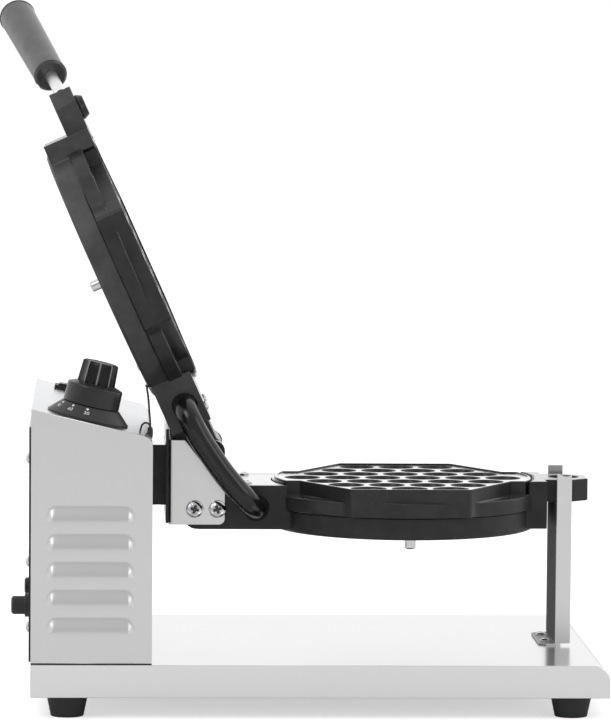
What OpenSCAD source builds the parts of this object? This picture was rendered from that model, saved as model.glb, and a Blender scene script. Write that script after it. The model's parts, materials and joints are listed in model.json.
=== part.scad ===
// Bubble-waffle iron on a stainless base: a fixed lower casting, a lid that swings up about
// a cross pin, a sloped control box behind the hinge and a folded base tray below them.
// Millimetres. Z is up, the control box is at the -X end and the lid is drawn standing open.

/* [Base tray] */
// Length of the tray
tray_l = 459; // [452:1:500]
// Width of the tray
tray_w = 302; // [300:1:330]
// Height of the tray's folded sides
tray_h = 26; // [24:1:36]
// Radius of the fold along the tray's front end
tray_front_r = 13; // [6:1:16]
// Thickness of the tray's sheet
tray_t = 1.5; // [1:0.1:2]
// Width of the tray's inward flanges
tray_flange = 12; // [8:1:14]
// Thickness of the plate that closes the tray from below
bottom_t = 1; // [0.8:0.1:2]

/* [Feet] */
// Height of each rubber foot
foot_h = 17; // [14:1:30]
// Diameter of a foot where it meets the tray
foot_top_d = 33; // [28:1:38]
// Diameter of a foot where it meets the table
foot_end_d = 26; // [20:1:27]
// Distance from the tray's ends to the centres of the feet
foot_inset_x = 29; // [24:1:36]
// Distance from the tray's sides to the centres of the feet
foot_inset_y = 21; // [20:1:32]
// Diameter of the foot bolts
foot_bolt_d = 5; // [4:0.5:6]

/* [Control box] */
// Depth of the box along the tray
box_l = 95.7; // [95:0.1:96.5]
// Width of the box across the tray
box_w = 295; // [290:1:296]
// Height of the box at its back
box_h = 202; // [200:0.5:206]
// Downward slope of the control panel, in degrees
panel_slope = 13.2; // [11:0.2:14]
// Radius between the control panel and the box's front face
box_r = 10; // [7:1:12]
// Thickness of the box's sheets
box_t = 1.2; // [0.8:0.1:1.5]
// Thickness of the rear cover
rear_t = 1.5; // [1:0.1:2]
// Height of the rear cover
rear_h = 186; // [182:1:188]
// Thickness of the seal between box and tray
seal_t = 0.8; // [0.5:0.1:1.5]

/* [Louvres] */
// Number of louvres in each side of the box
louvre_n = 5; // [3:1:5]
// Length of a louvre
louvre_l = 68.5; // [50:0.5:72]
// Height of a louvre's hood
louvre_h = 12; // [8:0.5:14]
// How far a hood stands out of the side
louvre_out = 3.4; // [2:0.1:3.4]
// Distance from one louvre to the next
louvre_step = 22.1; // [18:0.1:22.5]
// Height of the lowest louvre's mouth above the tray
louvre_z = 24.9; // [20:0.1:28]

/* [Dial and switch] */
// Distance of the dial and the switch from the middle of the box
dial_y = 107; // [98:1:108]
// Distance of the dial from the box's back, along the panel
dial_u = 45.5; // [42:0.5:50]
// Diameter of the dial's scale ring at the panel
scale_d = 65; // [60:1:68]
// Diameter of the scale ring at its top
scale_top_d = 46; // [45:1:50]
// Height of the scale ring
scale_h = 10.6; // [8:0.2:12]
// Diameter of the knob's drum
drum_d = 45; // [38:0.5:45.5]
// Height of the drum
drum_h = 15.3; // [12:0.1:18]
// Diameter of the knob's grip at its foot
grip_d = 30.5; // [26:0.5:33]
// Height of the grip
grip_h = 18.2; // [12:0.1:22]
// Number of flutes in the grip
flute_n = 9; // [6:1:9]
// Diameter of the thermostat's shaft
shaft_d = 6; // [5:0.5:7]
// Length of the power switch's frame
switch_l = 30; // [28:1:36]
// Width of the power switch's frame
switch_w = 22; // [20:1:30]
// Travel of the rocker, in degrees
rocker_travel = 20; // [14:1:22]

/* [Hinge] */
// Distance of the hinge pin from the tray's rear end
hinge_x = 138.6; // [138:0.1:139.5]
// Height of the hinge pin above the tray
hinge_h = 156.8; // [154:0.1:160]
// Height of the hinge pin above the plane where the plates meet
hinge_drop = 21.6; // [21.4:0.1:22.2]
// Angle that the lid opens through, in degrees
open_angle = 114.4; // [112:0.2:115]
// Diameter of the hinge pin
pin_d = 10; // [8:0.5:11]
// Thickness of the black plate that stops the lid
stop_t = 2.5; // [2:0.1:3]
// Thickness of the stainless bracket's sheet
bracket_t = 1.5; // [1.2:0.1:2]

/* [Castings] */
// Distance from the hinge pin to the centre of the plates
disc_x = 164; // [162:1:166]
// Diameter of the flanges round the grid plates
disc_d = 220; // [218:0.5:222]
// Diameter of the round pans
pan_d = 216; // [214:0.5:217.5]
// Width of the arms beside the hinge
arm_w = 98; // [94:1:102]
// Depth of a casting below the mating plane
cast_depth = 38.8; // [38.2:0.2:40.4]
// Depth of the pans below the mating plane
pan_depth = 41; // [40.6:0.2:44]
// Radius along the pans' bottom edges
pan_r = 3; // [1:0.5:4]
// Depth of the pans' rims below the mating plane
pan_top = 23.2; // [22:0.2:25]
// Width of the front lugs
lug_w = 80; // [76:1:84]
// Distance from the hinge pin to the front of the lugs
lug_x = 279.5; // [278:0.5:282]
// Width of the slim arm ends
tip_w = 50; // [48:1:60]
// Width of the slim arm ends' front faces
tip_nose = 28; // [27:1:36]
// Distance from the hinge pin to the slim arm ends' front faces
tip_x = 315.2; // [313:0.2:318]
// Thickness of the slim arm ends
tip_t = 18.2; // [16:0.2:19]
// Wall thickness of the castings
cast_wall = 4; // [3:0.5:5]

/* [Grid plates] */
// Width of the hexagonal plates across their flats
hex_w = 210; // [208:1:212]
// Height of the hexagonal part above its flange
hex_t = 11.7; // [11:0.1:13]
// Distance between neighbouring cavities
cavity_step = 33; // [32:0.5:33]
// Diameter of a cavity at its mouth
cavity_d = 29; // [25:0.5:29.5]
// Depth of a cavity in each plate
cavity_deep = 10.5; // [8:0.5:11.5]
// Width of the lip that runs round the hexagon
lip_w = 1.8; // [1.2:0.1:2.2]
// Height of the lip above the plate
lip_h = 1.3; // [0.8:0.1:2]
// Gap left between the two closed plates
plate_gap = 0.3; // [0.2:0.1:0.6]

/* [Handle] */
// Diameter of the handle's rod
rod_d = 9.8; // [8:0.2:10.6]
// Length of the rod between casting and grip
rod_free = 31; // [24:1:36]
// Angle of the handle from the lid's cross direction, in degrees
handle_splay = 26.2; // [20:0.2:30]
// Angle by which the handle rises away from the plates, in degrees
handle_rise = 3.3; // [0:0.1:5]
// Length of the grip
handle_l = 127; // [90:1:128]
// Diameter of the grip beside the rod
handle_near_d = 26.5; // [22:0.5:30]
// Diameter of the grip at its free end
handle_far_d = 29.7; // [24:0.1:31]

/* [Stand] */
// Distance of the stand's web from the tray's rear end
stand_x = 426; // [424:1:428]
// Width of the stand across its flanges
stand_w = 76; // [75:1:80]
// Width of the flanges
stand_flange = 12.3; // [10:0.1:14]
// Height of the flanges above the tray
stand_h = 141; // [137:0.5:143]
// Thickness of the stand's sheet
stand_t = 1.5; // [1.2:0.1:2]
// Length of the stand's foot
stand_foot = 13; // [12:0.5:15]

/* [Hose and lead] */
// Diameter of the hose that carries the lid's wires
hose_d = 18.5; // [16:0.5:19]
// Diameter of the probe lead
lead_d = 1.8; // [1.4:0.2:2.4]

/* [Hidden] */

$fn = 64;
eps = 0.01;
slip = 0.25;         // clearance round a piece that slips into another
run_gap = 0.3;       // clearance round a piece that turns inside another
screw_gap = 0.3;     // radial clearance round a screw

lean = open_angle - 90;
tray_top = foot_h + tray_h;
mating_z = hinge_h - hinge_drop;

// Places on the open lid, s along its arm and n out of its back, as [x, z] from the tray's corner
function on_lid(s, n) = [
  hinge_x - s * sin(lean) - n * cos(lean),
  hinge_h + s * cos(lean) - n * sin(lean)
];

// Direction of the handle in the lid: along the arm, across it, away from the plates
handle_dir = [
  sin(handle_splay) * cos(handle_rise), cos(handle_splay) * cos(handle_rise), sin(handle_rise)
];
handle_reach = rod_free + handle_l;
handle_root = [tip_x, -1.4, tip_t / 2];
handle_edge = 1.2;
rod_deep = 8;        // how far the rod runs into the casting
rod_stop = 12;       // where it ends inside the grip, from the grip's free end
// The grip's free end is the rearmost point of the whole machine
handle_dx = -handle_dir[0] * sin(lean) - handle_dir[2] * cos(lean);
handle_back = on_lid(tip_x, handle_root[2] - hinge_drop)[0]
  + (handle_reach - handle_edge) * handle_dx - handle_far_d / 2 * sqrt(1 - handle_dx * handle_dx);
tray_screw_h = 1.8;
origin_x = (tray_l + tray_screw_h + handle_back) / 2;

// Feet, as [x, y]
foot_places = [
  for (x = [foot_inset_x, tray_l - foot_inset_x], side = [-1, 1])
    [x, side * (tray_w / 2 - foot_inset_y)]
];
foot_recess_d = 12;
foot_sink = 6;
foot_nut_h = 4;
tray_screw_z = -tray_h / 2;
tray_screw_y = 100;

// Centre of the fold between panel and front face
fold_x = box_l - box_r;
fold_z = box_h - fold_x * tan(panel_slope) - box_r / cos(panel_slope);
side_y = box_w / 2 - box_t;
side_flange = 24;
side_flange_h = 174;
box_flange = 12;
rear_screw_y = box_w / 2 - 15.5;
rear_screw_z = [28, 80, 162];
sheet_screw_d = 4;
box_screw_x = [24, 72];
box_screw_y = side_y - box_flange / 2;

dial_hole_d = 11;
drum_lift = 0.4;     // gap under the turning knob
drum_bore = 12;
flute_d = 22;
flute_deep = 1.1;
thermostat_d = 34;
thermostat_h = 26;
switch_rim = 2;
switch_frame_h = 3;
switch_depth = 24;
rocker_u = 31;
rocker_drop = 2;     // depth of the rocker's pivot below the panel
rocker_face = 7.6;   // height of the rocker's face above its pivot
rocker_pin_d = 3;

gland_y = -100;
gland_z = 41;
gland_bore_d = 7.6;
gland_body_d = 14.8;
gland_flange_d = 18.8;
gland_thread_d = 12;
cutout_y = -60;
cutout_z = 51.5;
cutout_d = 13.4;
cutout_nose_d = 10;

neck_w = 80;
neck_z0 = hinge_h - 41.8;
neck_z1 = neck_z0 + 49;
neck_line = neck_z0 + 11.8;
neck_t = 3;
neck_bolt_d = 6;
neck_bolt_y = 28;
neck_bolt_z = [neck_z0 + 8, neck_z1 - 6];
cable_hole_d = 20;
cable_z = neck_z0 - 3;
stop_x1 = 109.8;
stop_x0 = stop_x1 - stop_t;
stop_w = 104;
stop_z0 = neck_z0 - 13.5;
stop_rest = 0.3;     // gap left where the lid comes to rest on the stop plate
lid_back = cast_depth - hinge_drop;
pan_back = pan_depth - hinge_drop;
// Height at which the lid's back passes the stop plate's front edge
stop_z1 = hinge_h + ((hinge_x - stop_x1) * cos(lean) - lid_back) / sin(lean) - stop_rest / sin(lean);

cheek_y = arm_w / 2 + run_gap;
bracket_end = hinge_x + 16.6;
bracket_z0 = hinge_h - 56.6;
bracket_z1 = hinge_h + 12.1;
bracket_chamfer = [hinge_x - 16.2, hinge_h - 30.5];
bracket_screw_x = [hinge_x - 7.8, hinge_x + 10.6];
bracket_screw_z = hinge_h - 43.8;
bracket_screw_d = 6;
bracket_head_d = 14.5;
bracket_r = 3.5;     // outside radius of the bends between web and cheeks

arm_gap = 0.5;
ear_in = 38.5;
ear_top = 11.7;
ear_back = 17.6;
ear_front = 16.6;
ear_r = 9;
tongue_y = ear_in - arm_gap;
tongue_r = 16.2;
arm_start = 24;
arm_face = [3.2, 5];      // depth of the arms' tops below the mating plane: lower, upper
cover_t = 1.2;
cover_x0 = 26;
cover_y = 42;
cover_screw = [35, 35];
cover_head_d = 7.8;
channel_y = 26;
channel_x0 = 29;
seat_gap = 0.4;
wall_r = disc_d / 2 - 2;
hex_end_r = disc_d / 2 - 5;
tab_y = 38;
hex_side = 95;            // length of the hexagon's two sides along the arm
hex_r = 5;                // radius of the hexagon's corners
plate_corner = [hex_side / 2 + (hex_w / 2 - tab_y) * tan(30), tab_y];
flange_cut_r = wall_r - seat_gap;
peg_x = 296.4;
peg_d = 21;
peg_top_d = 16.3;
peg_h = 6;
recess_d = 24;
recess_h = 8;
pad_d = 30;
pad_h = 0.5;
tip_cut = 13.5;           // length of the slim arm ends' chamfers
stud_d = 8.8;
stud_y = 97;
stud_out = 7.6;
stud_deep = 7;
stud_boss_d = 12;
heater_r = 66;
heater_d = 8;
heater_open = 15;
lead_s = 70;
lead_y = -40;
clip_s = 83;
bulb_d = 5;
bulb_l = 30;
hose_bore_d = hose_d + 2 * 0.35;
hose_bore_h = 8;
hose_s = [42.5, 43];      // distance of the hose's bores from the pin: lower, upper
hose_deep = [21.6, 20];   // depth of the hose's bores below the mating plane: lower, upper

row_step = cavity_step * sqrt(3) / 2;
cavity_r = (cavity_d * cavity_d / 4 + cavity_deep * cavity_deep) / (2 * cavity_deep);
plate_top = -plate_gap / 2;

// Hose from the lid's casting round to the lower one, as [x, y, z] from the tray's corner
hose_lid = on_lid(hose_s[1], hose_deep[1] - hinge_drop);
hose_base = [hinge_x + hose_s[0], mating_z - hose_deep[0]];
hose_points = [
  [hose_lid[0], -42, hose_lid[1]], [hose_lid[0], -49, hose_lid[1]],
  [122.9, -57, 195.2], [124.8, -63.5, 190.8], [127.8, -67, 184.6], [131.6, -68, 177.2],
  [136.2, -68, 169.2], [141.4, -68, 161.1], [147, -68, 153], [152.8, -68, 145],
  [158.8, -68, 137.4], [164.8, -67.4, 130.4], [170.4, -66, 124.2], [175.4, -62.8, 118.8],
  [179.2, -57, 115.2], [hose_base[0], -49, hose_base[1]], [hose_base[0], -42, hose_base[1]]
];

// Probe lead from the lid's back to its sleeve on the box
lead_lid = on_lid(lead_s, pan_back);
lead_in = on_lid(lead_s, pan_back - 6);
lead_out = on_lid(lead_s, pan_back + 2);
lead_foot = [86.2, -100];
sleeve_d = 4.6;
sleeve_x = 94;
sleeve_y = -99;
sleeve_z = 184;
lead_points = [
  [lead_in[0], lead_y, lead_in[1]], [lead_lid[0], lead_y, lead_lid[1]],
  [lead_out[0], lead_y, lead_out[1]], [89.4, -43.2, 208.6], [89.9, -49, 206.8],
  [90.6, -57.5, 204.6], [91.6, -67.5, 201.8], [92.7, -78.5, 198.2], [93.7, -88.5, 194],
  [94.6, -95.4, 190], [94.9, -98.4, 187], [95, sleeve_y, sleeve_z + 0.1]
];
loop_points = [
  [93, sleeve_y, sleeve_z + 0.1], [92.8, -99.2, 185.7], [91.6, -99.6, 187.1], [89.8, -100, 187.3],
  [88, -100, 186.2], [86.9, -100, 184.2], [86.4, -100, 181.9], [lead_foot[0], lead_foot[1], 178.6]
];

steel = "gainsboro";
bright = "lightgray";
black = [0.16, 0.16, 0.17];
rubber = [0.1, 0.1, 0.1];

// ---------- shared frames ----------

// Tray coordinates: x from the tray's rear end, z from the tray's top
module seat() translate([-origin_x, 0, tray_top]) children();

// Casting coordinates: x from the hinge pin, z = 0 in the mating plane, the casting below it
module lower_frame() seat() translate([hinge_x, 0, mating_z]) children();
module upper_frame()
  seat() translate([hinge_x, 0, hinge_h]) rotate([0, -open_angle, 0])
    translate([0, 0, -hinge_drop]) mirror([0, 0, 1]) children();

// Panel coordinates: x down the slope from the box's back, z out of the control panel
module panel_frame() seat() translate([0, 0, box_h]) rotate([0, panel_slope, 0]) children();
module dial_axis() panel_frame() translate([dial_u, -dial_y, 0]) children();
module switch_place() panel_frame() translate([rocker_u, dial_y, 0]) children();

// ---------- shared shapes ----------

// Block from x0 to x1 and z0 to z1, centred across the machine
module block(x0, x1, half_y, z0, z1)
  translate([x0, -half_y, z0]) cube([x1 - x0, 2 * half_y, z1 - z0]);

// Outline in x and z drawn across the machine from y0 to y1
module across(y0, y1) translate([0, y1, 0]) rotate([90, 0, 0]) linear_extrude(y1 - y0) children();

// Cylinder along y from y0 to y1, or along x from x0 to x1
module bar_y(y0, y1, d) translate([0, y0, 0]) rotate([-90, 0, 0]) cylinder(h = y1 - y0, d = d);
module bar_x(x0, x1, d) translate([x0, 0, 0]) rotate([0, 90, 0]) cylinder(h = x1 - x0, d = d);

// Waste outside a corner's arc: the corner is at the origin, the solid lies towards +x and +y
module corner_waste(r) difference() {
  translate([-1, -1]) square(r + 1);
  translate([r, r]) circle(r);
}

// Pan-head screw: head above z = 0, shank below
module pan_screw(head_d, head_h, shank_d, shank_l) {
  intersection() {
    cylinder(h = head_h, d = head_d);
    translate([0, 0, head_h - head_d * 0.7]) sphere(d = head_d * 1.4);
  }
  translate([0, 0, -shank_l]) cylinder(h = shank_l + eps, d = shank_d);
}

module cross_slot(l, w, deep) for (a = [0, 90]) rotate(a)
  translate([-l / 2, -w / 2, -deep]) cube([l, w, deep + 1]);

module crossed_screw(head_d, head_h, shank_d, shank_l) difference() {
  pan_screw(head_d, head_h, shank_d, shank_l);
  translate([0, 0, head_h]) cross_slot(head_d * 0.5, head_d * 0.1, head_h * 0.5);
}

module hex_nut(flats, h, hole_d) difference() {
  cylinder(h = h, d = flats / cos(30), $fn = 6);
  translate([0, 0, -1]) cylinder(h = h + 2, d = hole_d);
}

// Tube swept along a list of points
function unit(v) = v / norm(v);
function tangent(p, i) = unit(p[min(i + 1, len(p) - 1)] - p[max(i - 1, 0)]);
function level_side(t) = unit(cross(t, [0.1, 0.2, 1]));
module swept_tube(points, d, sides) {
  n = len(points);
  rings = [
    for (i = [0 : n - 1]) let (t = tangent(points, i), a = level_side(t), b = cross(t, a))
      for (k = [0 : sides - 1])
        points[i] + d / 2 * (cos(360 * k / sides) * a + sin(360 * k / sides) * b)
  ];
  walls = [
    for (i = [0 : n - 2], k = [0 : sides - 1])
      let (a = i * sides + k, b = i * sides + (k + 1) % sides) [b, a, a + sides, b + sides]
  ];
  caps = [
    [for (k = [0 : sides - 1]) k],
    [for (k = [sides - 1 : -1 : 0]) (n - 1) * sides + k]
  ];
  polyhedron(rings, concat(walls, caps));
}

// ---------- base tray ----------

// Side view of the tray: square at the back, folded round at the front
module tray_outline(l, h, r) {
  square([l - r, h]);
  square([l, h - r]);
  translate([l - r, h - r]) circle(r);
}

module base_tray() color(steel) seat() difference() {
  union() {
    difference() {
      translate([0, 0, -tray_h]) across(-tray_w / 2, tray_w / 2)
        tray_outline(tray_l, tray_h, tray_front_r);
      translate([tray_t, 0, -tray_h - 1]) across(-tray_w / 2 + tray_t, tray_w / 2 - tray_t)
        tray_outline(tray_l - 2 * tray_t, tray_h - tray_t + 1, tray_front_r - tray_t);
    }
    for (side = [-1, 1])
      translate([tray_t, side * (tray_w - 2 * tray_t - tray_flange) / 2 - tray_flange / 2, bottom_t - tray_h])
        cube([tray_l - 2 * tray_t - bottom_t - 2 * slip, tray_flange, tray_t]);
  }
  for (side = [-1, 1]) {
    translate([stand_x - stand_foot / 2, side * stand_w / 4, -5])
      cylinder(h = 10, d = sheet_screw_d + 2 * screw_gap);
    translate([0, side * tray_screw_y, tray_screw_z])
      bar_x(tray_l - 5, tray_l + 1, sheet_screw_d + 2 * screw_gap);
    for (x = box_screw_x) translate([x, side * box_screw_y, -5])
      cylinder(h = 10, d = sheet_screw_d + 2 * screw_gap);
  }
}

// Closes the tray from below; its front end is folded up behind the tray's front face
module bottom_plate() color(bright) seat() difference() {
  flap_top = tray_screw_z + 3.2;
  fold_r = tray_front_r - tray_t;
  // Where the inside of the tray's fold stands at the height of the flap's top
  fold_x1 = tray_l - tray_t - fold_r + sqrt(fold_r * fold_r - pow(max(0, flap_top + tray_front_r), 2));
  union() {
    block(tray_t + slip, tray_l - tray_t - slip, tray_w / 2 - tray_t - slip, -tray_h, bottom_t - tray_h);
    block(fold_x1 - slip - bottom_t, fold_x1 - slip, tray_screw_y + 12, -tray_h, flap_top);
  }
  for (p = foot_places) translate([p[0], p[1], -tray_h - 1])
    cylinder(h = 5, d = foot_bolt_d + 2 * screw_gap);
  for (side = [-1, 1]) translate([0, side * tray_screw_y, tray_screw_z])
    bar_x(tray_l - 5, tray_l + 1, sheet_screw_d);
}

module tray_screws() color(bright) seat()
  for (side = [-1, 1]) translate([tray_l, side * tray_screw_y, tray_screw_z]) rotate([0, 90, 0])
    crossed_screw(7, tray_screw_h, sheet_screw_d, 6);

module feet() color(rubber) seat()
  for (p = foot_places) translate([p[0], p[1], -tray_top]) difference() {
    cylinder(h = foot_h, d1 = foot_end_d, d2 = foot_top_d);
    translate([0, 0, -1]) cylinder(h = foot_sink + 1, d = foot_recess_d);
    cylinder(h = foot_h + 1, d = foot_bolt_d + 2 * screw_gap);
  }

module foot_bolts() color(bright) seat()
  for (p = foot_places) translate([p[0], p[1], foot_sink - tray_top]) rotate([180, 0, 0])
    crossed_screw(9, 3, foot_bolt_d, foot_h - foot_sink + bottom_t + foot_nut_h + 1);

module foot_nuts() color(bright) seat()
  for (p = foot_places) translate([p[0], p[1], bottom_t - tray_h])
    hex_nut(8, foot_nut_h, foot_bolt_d);

// ---------- control box ----------

// Side view of the box, shrunk by g on the panel and the front face
module box_outline(g) difference() {
  r = box_r - g;
  union() {
    polygon([
      [0, seal_t], [box_l - g, seal_t], [box_l - g, fold_z], [fold_x, fold_z],
      [fold_x + r * sin(panel_slope), fold_z + r * cos(panel_slope)],
      [0, box_h - g / cos(panel_slope)]
    ]);
    translate([fold_x, fold_z]) circle(r);
  }
  translate([-50, 0]) square([50, 300]);
}

module box_wrap() color(steel) difference() {
  seat() difference() {
    across(-side_y, side_y) box_outline(0);
    difference() {
      across(-side_y - 1, side_y + 1) box_outline(box_t);
      block(box_l - box_flange, box_l, side_y + 2, 0, seal_t + box_t);
      block(-1, box_t, side_y + 2, side_flange_h + 1, box_h);
    }
    block(-1, box_l - box_flange, side_y + 2, -1, 20);
    for (side = [-1, 1], z = neck_bolt_z) translate([0, side * neck_bolt_y, z])
      bar_x(box_l - 5, box_l + 5, neck_bolt_d + 2 * screw_gap);
    for (side = [-1, 1]) translate([0, side * 30, 105]) bar_x(box_l - 5, box_l + 5, 3.4);
    translate([0, 0, (neck_z0 + neck_z1) / 2]) bar_x(box_l - 5, box_l + 5, cable_hole_d);
    translate([lead_foot[0], lead_foot[1], fold_z]) cylinder(h = 30, d = lead_d + 2 * screw_gap);
    translate([sleeve_x, sleeve_y, fold_z]) cylinder(h = 30, d = sleeve_d + 2 * slip);
  }
  dial_axis() translate([0, 0, -5]) cylinder(h = 10, d = dial_hole_d);
  switch_place() cube([switch_l - 2 * switch_rim, switch_w - 2 * switch_rim, 20], center = true);
}

// Hood of one louvre, its mouth on z = 0 and its sheet growing towards +y
module hood_profile(out, h) polygon(concat([[0, 0]], [for (a = [0 : 7.5 : 90]) [out * cos(a), h * sin(a)]]));
module hood_solid(l, out, h) {
  translate([-l / 2 + out, 0, 0]) rotate([90, 0, 90]) linear_extrude(l - 2 * out) hood_profile(out, h);
  translate([l / 2 - out, 0, 0]) rotate_extrude(angle = 90, $fn = 32) hood_profile(out, h);
  translate([-l / 2 + out, 0, 0]) rotate([0, 0, 90]) rotate_extrude(angle = 90, $fn = 32) hood_profile(out, h);
}

// Side panel facing +y, with its outer face on y = 0
module side_sheet() difference() {
  union() {
    across(-box_t, 0) box_outline(0);
    translate([0, -side_flange, seal_t]) cube([box_t, side_flange, side_flange_h - seal_t]);
    translate([0, -box_t - box_flange, seal_t]) cube([box_l - box_flange - slip, box_flange + eps, box_t]);
    for (i = [0 : louvre_n - 1]) translate([(12.6 + 81) / 2, -eps, louvre_z + i * louvre_step])
      hood_solid(louvre_l, louvre_out + eps, louvre_h);
  }
  for (i = [0 : louvre_n - 1]) translate([(12.6 + 81) / 2, -box_t - eps, louvre_z + i * louvre_step - eps]) {
    hood_solid(louvre_l - 2 * box_t, louvre_out + eps, louvre_h - 1);
    translate([-louvre_l / 2 + 4, 0, 0]) cube([louvre_l - 8, 2 * box_t, 0.6]);
  }
  for (z = rear_screw_z) translate([0, rear_screw_y - box_w / 2, z]) bar_x(-1, 5, sheet_screw_d);
  for (x = box_screw_x) translate([x, box_screw_y - box_w / 2, 0])
    cylinder(h = 6, d = sheet_screw_d + 2 * screw_gap);
}

module far_side_panel() color(steel) seat() translate([0, box_w / 2, 0]) side_sheet();
module near_side_panel() color(steel) seat() mirror([0, 1, 0]) translate([0, box_w / 2, 0]) side_sheet();

module box_seal() color(rubber) seat() difference() {
  block(0, box_l, box_w / 2, 0, seal_t);
  block(box_flange, box_l - box_flange, box_w / 2 - box_flange - box_t, -1, seal_t + 1);
  for (x = box_screw_x, side = [-1, 1]) translate([x, side * box_screw_y, -1])
    cylinder(h = 6, d = sheet_screw_d + 2 * screw_gap);
}

module box_screws() color(bright) seat()
  for (x = box_screw_x, side = [-1, 1]) translate([x, side * box_screw_y, seal_t + box_t])
    crossed_screw(8, 2.5, sheet_screw_d, 8);

module rear_cover() color(black) seat() difference() {
  block(-rear_t, 0, box_w / 2, 2, 2 + rear_h);
  for (z = rear_screw_z, side = [-1, 1]) translate([0, side * rear_screw_y, z])
    bar_x(-5, 5, sheet_screw_d + 2 * screw_gap);
  translate([0, gland_y, gland_z]) bar_x(-5, 5, gland_thread_d + 2 * screw_gap);
  translate([0, cutout_y, cutout_z]) bar_x(-5, 5, cutout_nose_d + 2 * screw_gap);
}

module rear_cover_screws() color(bright) seat()
  for (z = rear_screw_z, side = [-1, 1]) translate([-rear_t, side * rear_screw_y, z])
    rotate([0, -90, 0]) crossed_screw(8, 2.7, sheet_screw_d, 7);

module cable_gland() color(black) seat() translate([-rear_t, gland_y, gland_z]) rotate([0, -90, 0])
  difference() {
    union() {
      cylinder(h = 3.8, d = gland_flange_d);
      translate([0, 0, 3.8 - eps]) cylinder(h = 9.3, d = gland_body_d);
      translate([0, 0, 13.1 - eps]) cylinder(h = 1.5, d1 = gland_body_d, d2 = gland_body_d - 3);
      translate([0, 0, -rear_t - 8]) cylinder(h = rear_t + 8 + eps, d = gland_thread_d);
    }
    translate([0, 0, -20]) cylinder(h = 60, d = gland_bore_d);
  }

module gland_nut() color(black) seat() translate([0, gland_y, gland_z]) rotate([0, 90, 0])
  hex_nut(17, 4, gland_thread_d);

module cutout_cap() color(black) seat() translate([-rear_t, cutout_y, cutout_z]) rotate([0, -90, 0])
  difference() {
    union() {
      cylinder(h = 3.5, d = cutout_d);
      translate([0, 0, 3.5 - eps]) cylinder(h = 1.2, d1 = cutout_d, d2 = cutout_d - 2.4);
    }
    translate([0, 0, -1]) cylinder(h = 3.5, d = cutout_nose_d + 2 * slip);
  }

module cutout_body() color("ivory") seat() translate([0, cutout_y, cutout_z]) rotate([0, 90, 0]) {
  cylinder(h = 18, d = 22);
  translate([0, 0, -rear_t - 2.5]) cylinder(h = rear_t + 3, d = cutout_nose_d);
  for (side = [-1, 1]) translate([-2.5, side * 6 - 0.4, 17]) cube([5, 0.8, 8]);
}

module terminal_block() color("ivory") seat() translate([38, -10, 0]) difference() {
  cube([24, 60, 16]);
  for (i = [0 : 4]) {
    for (x = [5, 19]) translate([x, 8 + 11 * i, 8]) cylinder(h = 9, d = 5);
    translate([0, 8 + 11 * i, 6]) bar_x(-1, 25, 4);
    if (i < 4) translate([-1, 13 + 11 * i, 11]) cube([26, 1, 6]);
  }
}

// ---------- dial and switch ----------

module dial_scale() color(black) dial_axis() difference() {
  union() {
    cylinder(h = 1.2, d = scale_d);
    translate([0, 0, 1.2 - eps]) cylinder(h = scale_h - 1.2, d1 = scale_d, d2 = scale_top_d);
  }
  translate([0, 0, 2]) cylinder(h = scale_h, d = scale_top_d - 6);
  translate([0, 0, -1]) cylinder(h = 10, d = dial_hole_d);
}

module thermostat_body() color("silver") dial_axis() difference() {
  union() {
    translate([0, 0, -box_t - thermostat_h]) cylinder(h = thermostat_h, d = thermostat_d);
    translate([0, 0, -box_t - eps]) cylinder(h = 4, d = dial_hole_d - 2 * slip);
    for (side = [-1, 1]) translate([-3, side * 8 - 0.4, -box_t - thermostat_h - 7]) cube([6, 0.8, 8]);
  }
  translate([0, 0, -box_t - 16]) cylinder(h = 30, d = shaft_d + 2 * run_gap);
}

module thermostat_shaft() color("silver") dial_axis()
  translate([0, 0, -box_t - 16 + run_gap])
    cylinder(h = 16 - run_gap + box_t + scale_h + drum_lift + drum_bore, d = shaft_d);

// Drum and fluted grip, hollow below, with a socket for the shaft
module temperature_knob() color(black) dial_axis() translate([0, 0, scale_h + drum_lift]) difference() {
  union() {
    cylinder(h = drum_h - 0.6, d1 = drum_d, d2 = drum_d - 0.5);
    translate([0, 0, drum_h - 0.6 - eps]) cylinder(h = 0.6, d1 = drum_d - 0.5, d2 = drum_d - 1.7);
    difference() {
      union() {
        translate([0, 0, drum_h - 1]) cylinder(h = grip_h + 0.4, d1 = grip_d, d2 = grip_d - 1.7);
        translate([0, 0, drum_h + grip_h - 0.6 - eps])
          cylinder(h = 0.6, d1 = grip_d - 1.7, d2 = grip_d - 2.9);
      }
      for (i = [0 : flute_n - 1]) rotate(360 * (i + 0.5) / flute_n - 90)
        translate([grip_d / 2 - flute_deep + flute_d / 2, 0, drum_h + 0.5]) cylinder(h = grip_h + 5, d = flute_d);
    }
  }
  difference() {
    translate([0, 0, -1]) cylinder(h = drum_h - 2, d = drum_d - 6);
    cylinder(h = drum_h, d = 14);
  }
  translate([0, 0, -1]) cylinder(h = drum_bore + 1, d = shaft_d + 0.1);
  translate([grip_d / 2 - 5, -0.6, drum_h + grip_h - 0.6]) cube([4, 1.2, 2]);
}

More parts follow.
